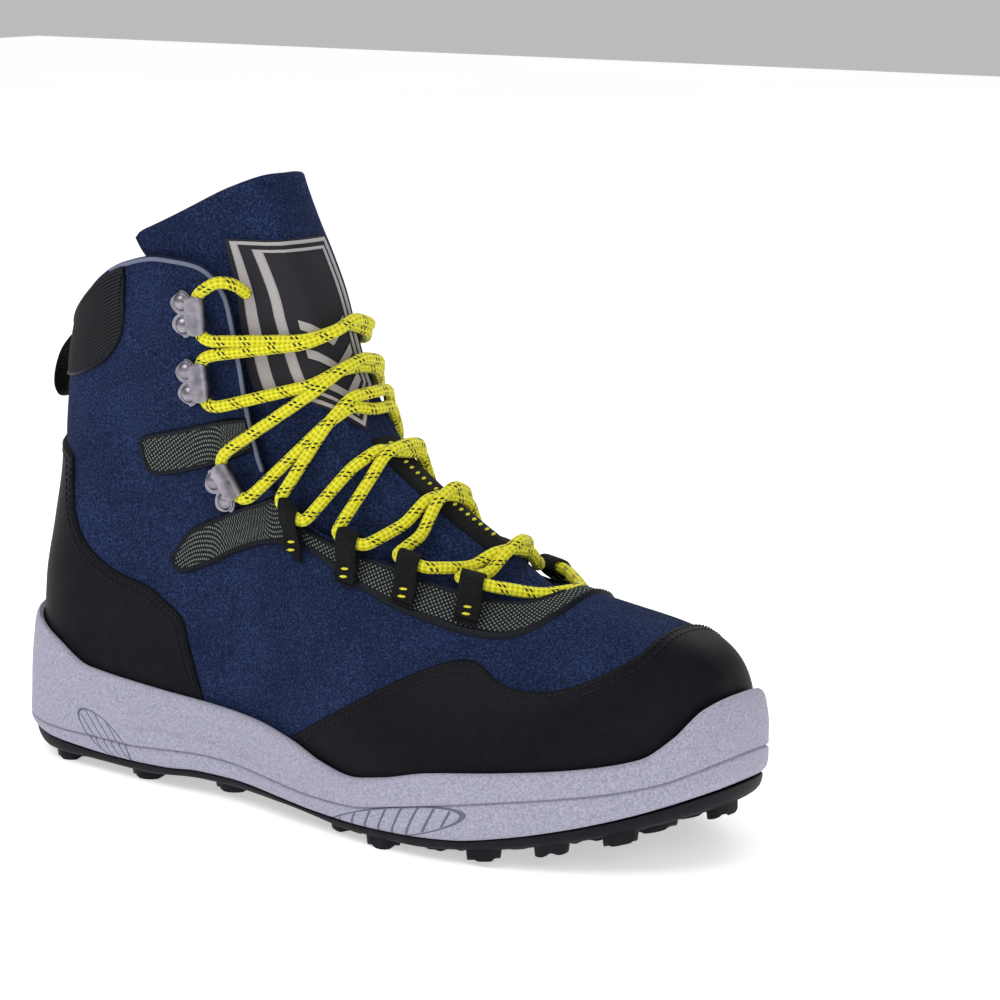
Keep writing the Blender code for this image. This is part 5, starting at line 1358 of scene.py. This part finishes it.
# Outline in the front view: distance from the middle, height; the badge sits to the outer side of the middle
BADGE_Y = MIDDLE_Y - 7.4
shield = [(-14.2, 204.8), (-14.7, 178.0), (-14.5, 151.0), (0.0, 137.4), (14.5, 151.0), (14.7, 178.0), (14.2, 204.8)]
shield = [(y + BADGE_Y, z) for y, z in shield]
bm = bmesh.new()
BADGE_THICK = 1.55
plate = flat_face(bm, shield, BADGE_THICK)
plate.normal_update()
if plate.normal.x < 0:
    plate.normal_flip()
for wide, rise, finish in ((0.7, 0, 0), (0.15, 0.45, 1), (1.0, 0, 1), (0.15, -0.45, 1), (1.4, 0, 0),
                           (0.15, 0.45, 1), (0.75, 0, 1), (0.15, -0.45, 1)):
    for face in bmesh.ops.inset_region(bm, faces=[plate], thickness=wide, depth=rise, use_even_offset=True,
                                        use_boundary=True)["faces"]:
        face.material_index = finish
for k in range(3):
    low, wide = 147.0 + 10.0 * k, 8.6
    chevron = [(-wide, low + 6.5), (0, low), (wide, low + 6.5),
               (wide, low + 10.0), (0, low + 3.5), (-wide, low + 10.0)]
    mark = flat_face(bm, [(y + BADGE_Y, z) for y, z in chevron], BADGE_THICK + 0.02)
    raise_faces(bm, [mark], 0.4, 1)
rim = [e for e in bm.edges if e.is_boundary and all(abs(v.co.x - BADGE_THICK) < 0.005 for v in e.verts)]
made = bmesh.ops.extrude_edge_only(bm, edges=rim)["geom"]
bmesh.ops.translate(bm, vec=(-1.5, 0, 0), verts=[v for v in made if isinstance(v, bmesh.types.BMVert)])
for axis, low, high in ((1, -26, 26), (2, 134, 208)):
    for cut_at in np.arange(low, high, 2.4):
        spot, facing = [0, 0, 0], [0, 0, 0]
        spot[axis], facing[axis] = cut_at + (MIDDLE_Y if axis == 1 else 0), 1
        bmesh.ops.bisect_plane(bm, geom=bm.verts[:] + bm.edges[:] + bm.faces[:], plane_co=spot, plane_no=facing)
for vert in bm.verts:
    place, normal = on_tongue(vert.co.y, vert.co.z)
    vert.co = place + normal * vert.co.x
finish_piece("badge", bm, [BADGE_DARK, BADGE_PALE], ["tongue_badge"], 30)

# %% Lace keeper
strip_length = np.linspace(0.145, 0.470, 70)[:, None]
section = np.array([(-0.135, 0.2), (-0.132, 1.2), (-0.12, 1.5), (-0.06, 1.6), (0, 1.6), (0.06, 1.6), (0.12, 1.5),
                    (0.132, 1.2), (0.135, 0.2)])
points = tongue(strip_length, section[None, :, 0], section[None, :, 1])
run = run_along(points[:, 4])
uv = np.stack(np.broadcast_arrays(section[None, :, 0] * 40, run[:, None]), -1)
bm = bmesh.new()
lay_grid(bm, points, uv)
line = np.linspace(0.16, 0.46, 200)
outward = unit(tongue(line, 0.0, 3) - tongue(line, 0.0, 0))
lay_stitches(bm, tongue(line, 0.0, 1.75), outward, 3.1, 2.7, 1.05, 1, math.pi / 2)
finish_piece("keeper_webbing", bm, [WEBBING, YELLOW_THREAD], ["lace_keeper"])

# %% [markdown]
# ## Webbing loops
# Four straps on each side are folded into an eye at the throat's edge. Each is a flat ribbon laid along a
# curve, with three short yellow bartacks sewn through both layers.

# %% Straps


def lay_strap(bm, path, widths, half, thick):
    """Adds a flat strap with rounded edges along a path; its UV is millimetres across and along."""
    run = unit(np.gradient(path, axis=0))
    normals = unit(np.cross(run, widths))
    angle = np.linspace(0, 2 * np.pi, 21)
    flat = np.sign(np.cos(angle)) * np.abs(np.cos(angle)) ** 0.35 * half
    deep = np.sign(np.sin(angle)) * np.abs(np.sin(angle)) ** 0.6 * thick / 2
    body = path[:, None] + widths[:, None] * flat[None, :, None] + normals[:, None] * deep[None, :, None]
    first_end, last_end = (np.repeat(path[k][None, None], len(angle), axis=1) for k in (0, -1))
    along = run_along(path)
    along = np.concatenate(([0], along, along[-1:]))
    uv = np.stack(np.broadcast_arrays(flat[None, :], along[:, None]), -1)
    lay_grid(bm, np.concatenate((first_end, body, last_end)), uv)


def turn_of(side, share):
    return share if side < 0 else 2 - share


def throat_frame(side, x):
    """Share, edge point, outward normal, direction down the flank and direction along the throat."""
    shares = np.linspace(0.45, 0.85, 401)
    share = float(np.interp(x, bare_skin(turn_of(side, shares), np.ones(401))[:, 0], shares))
    top = bare_skin(turn_of(side, share), 1.0)
    lower = bare_skin(turn_of(side, share), 0.93)
    along = unit(bare_skin(turn_of(side, share + 0.01), 1.0) - bare_skin(turn_of(side, share - 0.01), 1.0))
    down = unit(lower - top)
    normal = unit(np.cross(along, down))
    return share, top, normal if normal[2] > 0 else -normal, down, along


LOOP_LOW = GAP + OVERLAY + GAP + 0.9
STRAP_FOLD = [(13.5, 0), (8, 0), (3, 0.1), (-1, -0.3), (-4.6, 0.4), (-6.0, 2.6), (-4.4, 5.0), (-1.2, 5.9), (2.6, 4.5),
              (6, 2.3), (9, 1.6), (12.5, 1.6)]
EYES = {}
for side, label, rows in ((-1, "lateral", LOOPS_OUTER), (1, "medial", LOOPS_INNER)):
    for number, x in rows:
        share, top, normal, down, along = throat_frame(side, x)
        column = float(column_length(turn_of(side, share)))

        def base(distance):
            if distance > 0:
                return bare_skin(turn_of(side, share), 1 - distance / column)
            return top + down * distance

        knots = [base(distance) + normal * (LOOP_LOW + height) for distance, height in STRAP_FOLD]
        path = spline(knots, 5)
        bm = bmesh.new()
        lay_strap(bm, path, np.broadcast_to(along, path.shape), LOOP_WIDTH / 2, LOOP_THICK)
        tack = np.array([base(d) + normal * (LOOP_LOW + 2.15) for d in np.linspace(12.6, 3.9, 20)])
        lay_stitches(bm, tack, np.broadcast_to(normal, tack.shape), 2.9, 3.0, 1.0, 1, math.pi / 2)
        finish_piece("strap_%s_%d" % (label, number), bm, [WEBBING, YELLOW_THREAD],
                     ["lace_loop_%d_%s" % (number, label)])
        EYES[(side, int(number))] = (top - down * 2.2 + normal * (LOOP_LOW + 2.9), along)

# %% [markdown]
# ## Hooks
# Each hook is pressed from sheet: a plate with two round ends for its rivets, a neck, and a lip that curls back
# over the lace. It is a grid bent along the CAD solid's own curve and thickened; its rivets are spun.

# %% Hooks and rivets
# How far each hook's plate stands off the skin, by side and number
HOOK_STANDS = {(-1, 1): 0.95, (1, 1): 0.95, (-1, 2): 1.15, (1, 2): 1.15, (-1, 3): 3.6, (1, 3): 4.1}
# Rivet's profile: radius, height
DOME = [(0.0, 2.15), (1.1, 2.05), (2.1, 1.65), (2.9, 0.9), (3.15, 0.45), (3.25, 0.3), (3.6, 0.25), (3.7, 0.0),
        (3.7, -0.4)]
HOOK_FRAMES = {}


def shaft_frame(side, x, z, tilt):
    """Point of the shaft seen from the side, its normal, and the directions ahead and up, turned by a tilt."""
    point = side_point(side, x, z)
    ahead = unit(side_point(side, x + 6, z) - side_point(side, x - 6, z))
    up = unit(side_point(side, x, z + 6) - side_point(side, x, z - 6))
    normal = unit(np.cross(ahead, up)) * -side
    ahead = unit(ahead - normal * ahead.dot(normal))
    up = np.cross(normal, ahead) * -side
    turn = math.radians(tilt)
    if normal[1] * side < 0:
        normal = -normal
    return (point, normal, ahead * math.cos(turn) + up * math.sin(turn), up * math.cos(turn) - ahead * math.sin(turn))


sheet_rows = spline(HOOK_SHEET, 4)
for number, x, z, tilt in HOOKS:
    for side, label in ((-1, "lateral"), (1, "medial")):
        number = int(number)
        nudge = 0 if side < 0 else 1
        point, normal, ahead, up = shaft_frame(side, x + 2 * nudge, z + nudge, tilt)
        stand = HOOK_STANDS[(side, number)]
        HOOK_FRAMES[(side, number)] = (point, normal, ahead, up, stand)
        k = np.linspace(-1, 1, 17)[None, :]
        distance, wide, out, reach = (sheet_rows[:, c][:, None] for c in range(4))
        lobes = 1 - np.abs(np.sin(np.pi * k)) ** 0.8
        reach = (reach + 3.2 * lobes * (1 - ease(distance, 0.0, 6.0))
                 + np.abs(k) ** 6 * 0.8 * (1 - ease(distance, 0, 4)))
        neck = ease(distance, 5.5, 9)
        wide = np.where(distance < 9, np.maximum(wide, 7.9) * (1 - neck) + wide * neck, wide)
        points = (point + ahead * reach[..., None] + normal * (stand + out)[..., None] + up * (wide * k)[..., None])
        bm = bmesh.new()
        lay_grid(bm, points)
        plate = finish_piece("hook_plate_%d_%s" % (number, label), bm, [PEWTER],
                             ["hook_%d_%s" % (number, label)], 60, False)
        for kind, settings in (('SOLIDIFY', {"thickness": 0.0013, "offset": 0.0}),
                               ('BEVEL', {"width": 0.0004, "segments": 2, "angle_limit": math.radians(50)})):
            modifier = plate.modifiers.new(kind.lower(), kind)
            for name, value in settings.items():
                setattr(modifier, name, value)
        bm = bmesh.new()
        for place_up in (4.3, -4.3):
            line = [bm.verts.new((radius, 0, height)) for radius, height in DOME]
            edges = [bm.edges.new(pair) for pair in zip(line, line[1:])]
            made = bmesh.ops.spin(bm, geom=line + edges, cent=(0, 0, 0), axis=(0, 0, 1), angle=2 * math.pi,
                                  steps=24, use_merge=True)
            loose = [v for v in bm.verts if not v.tag]
            seat = point - ahead * 6.2 + up * place_up + normal * (stand + 0.9)
            place = Matrix([[ahead[r], up[r], normal[r], seat[r]] for r in range(3)] + [[0, 0, 0, 1]])
            bmesh.ops.transform(bm, matrix=place, verts=loose)
            for vert in bm.verts:
                vert.tag = True
        bmesh.ops.remove_doubles(bm, verts=bm.verts, dist=0.01)
        finish_piece("hook_rivets_%d_%s" % (number, label), bm, [PEWTER],
                     ["hook_%d_rivet_%d_%s" % (number, n, label) for n in (1, 2)], 50)

# %% [markdown]
# ## Pull loop
# A short strap is folded at the back of the collar, to pull the boot on by. Its tag is left plain.

# %% Pull loop
knots = np.array([(x, float(smooth(CENTRE, x)), z) for x, z in PULL_LOOP])
path = spline(knots, 6)
bm = bmesh.new()
lay_strap(bm, path, np.broadcast_to(np.array([0.0, 1.0, 0.0]), path.shape), 7.5, 1.3)
finish_piece("pull_strap", bm, [WEBBING], ["pull_loop"])

# %% [markdown]
# ## Lace
# One lace runs through everything: across the lowest eyes as a straight bar, then from side to side, through the
# straps and round the hooks. Each half is a list of places that it must pass; the line between them is drawn
# tight and its corners are softened, as a real cord's are. The two halves take turns to lie on top.

# %% Route of the lace
# Share of the tongue by which the middle of a crossing lies nearer the toe than its two ends
LACE_SAG = 0.055


def nearest_length(point, across):
    """Share of the tongue's length that lies nearest to a point beside it."""
    shares = np.linspace(0, 1, 121)
    return float(shares[np.linalg.norm(tongue(shares, across) - point, axis=1).argmin()])


def cross_tongue(start, end, side, lifts):
    """Places over the tongue between the two sides; lifts are for the middle, near it and beside it."""
    low, high = nearest_length(start, side * 0.85), nearest_length(end, -side * 0.85)
    knots = []
    for across, lift in ((0.42, lifts[2]), (0.2, lifts[1]), (0.0, lifts[0]), (-0.2, lifts[1]), (-0.42, lifts[2])):
        share = (1 - across / 0.85) / 2
        sag = LACE_SAG * (1 - (across / 0.85) ** 2)
        knots.append(tongue(max(low + (high - low) * share - sag, 0.01), side * across, lift))
    return knots


def tight_path(knots, rounds=10):
    """Line through the knots with softened corners."""
    path = spaced(np.array(knots), 1.0)
    for _ in range(rounds):
        path[1:-1] = path[:-2] * 0.25 + path[1:-1] * 0.5 + path[2:] * 0.25
    return path


def pass_strap(side, number):
    """Places through a strap's eye, from its toe side to its heel side."""
    eye, along = EYES[(side, number)]
    return [eye + along * 6.5, eye + along * 3.0, eye, eye - along * 3.0, eye - along * 6.5]


def pass_hook(side, number):
    """Places round a hook's neck, under its lip, from below to above."""
    point, normal, ahead, up, stand = HOOK_FRAMES[(side, number)]
    return [point + ahead * reach + normal * (stand + out) + up * lift
            for reach, out, lift in ((7.5, 4.6, -9.6), (3.6, 4.0, -8.2), (2.2, 3.7, -4.5), (2.1, 3.65, 0.0),
                                     (2.2, 3.7, 4.5), (3.6, 4.0, 8.2), (7.5, 4.6, 9.6))]


def lace_half(first_side):
    """The places of one half, from the middle of the bar to its tucked end."""
    stations = [("strap", 4), ("strap", 3), ("strap", 2), ("strap", 1), ("hook", 3), ("hook", 2), ("hook", 1)]
    side = first_side
    knots, before = [], None
    for index, (kind, number) in enumerate(stations):
        places = pass_strap(side, number) if kind == "strap" else pass_hook(side, number)
        if before is None:
            other = pass_strap(-side, number)[0]
            whole = cross_tongue(other, places[0], -side, (4.6, 5.2, 5.6))
            knots += whole[2:]
        else:
            over = (index + (first_side < 0)) % 2 == 0
            lifts = ((8.3, 7.2, 6.0) if over else (4.2, 4.8, 5.4))
            if kind == "hook":
                lifts = ((8.6, 7.6, 7.0) if over else (4.4, 5.2, 6.4))
            knots += cross_tongue(before, places[0], -side, lifts)
        knots += places
        before = places[-1]
        side = -side
    side = -side
    point, normal, ahead, up, stand = HOOK_FRAMES[(side, 1)]
    for reach, out, lift in ((12.0, stand + 3.6, 12.2), (15.5, 2.0, 11.6), (17.5, -1.5, 9.5), (18.5, -5.0, 6.5)):
        knots.append(point + ahead * reach + normal * out + up * lift)
    return tight_path(knots)


# %% Lace
bm = bmesh.new()
halves = [lace_half(side) for side in (-1, 1)]
whole = np.concatenate((halves[0][::-1], halves[1][1:]))
lay_tube(bm, whole, LACE / 2, 14)
finish_piece("lace_cord", bm, [CORD], ["lace_bar"] + ["lace_cross_%d" % k for k in range(1, 7)], 80)
print("lace shown, mm:", round(float(np.linalg.norm(np.diff(whole, axis=0), axis=1).sum())))

# %% Finish
low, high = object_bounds()
print("dressed box, mm:", [round(v * 1000, 1) for v in high - low])
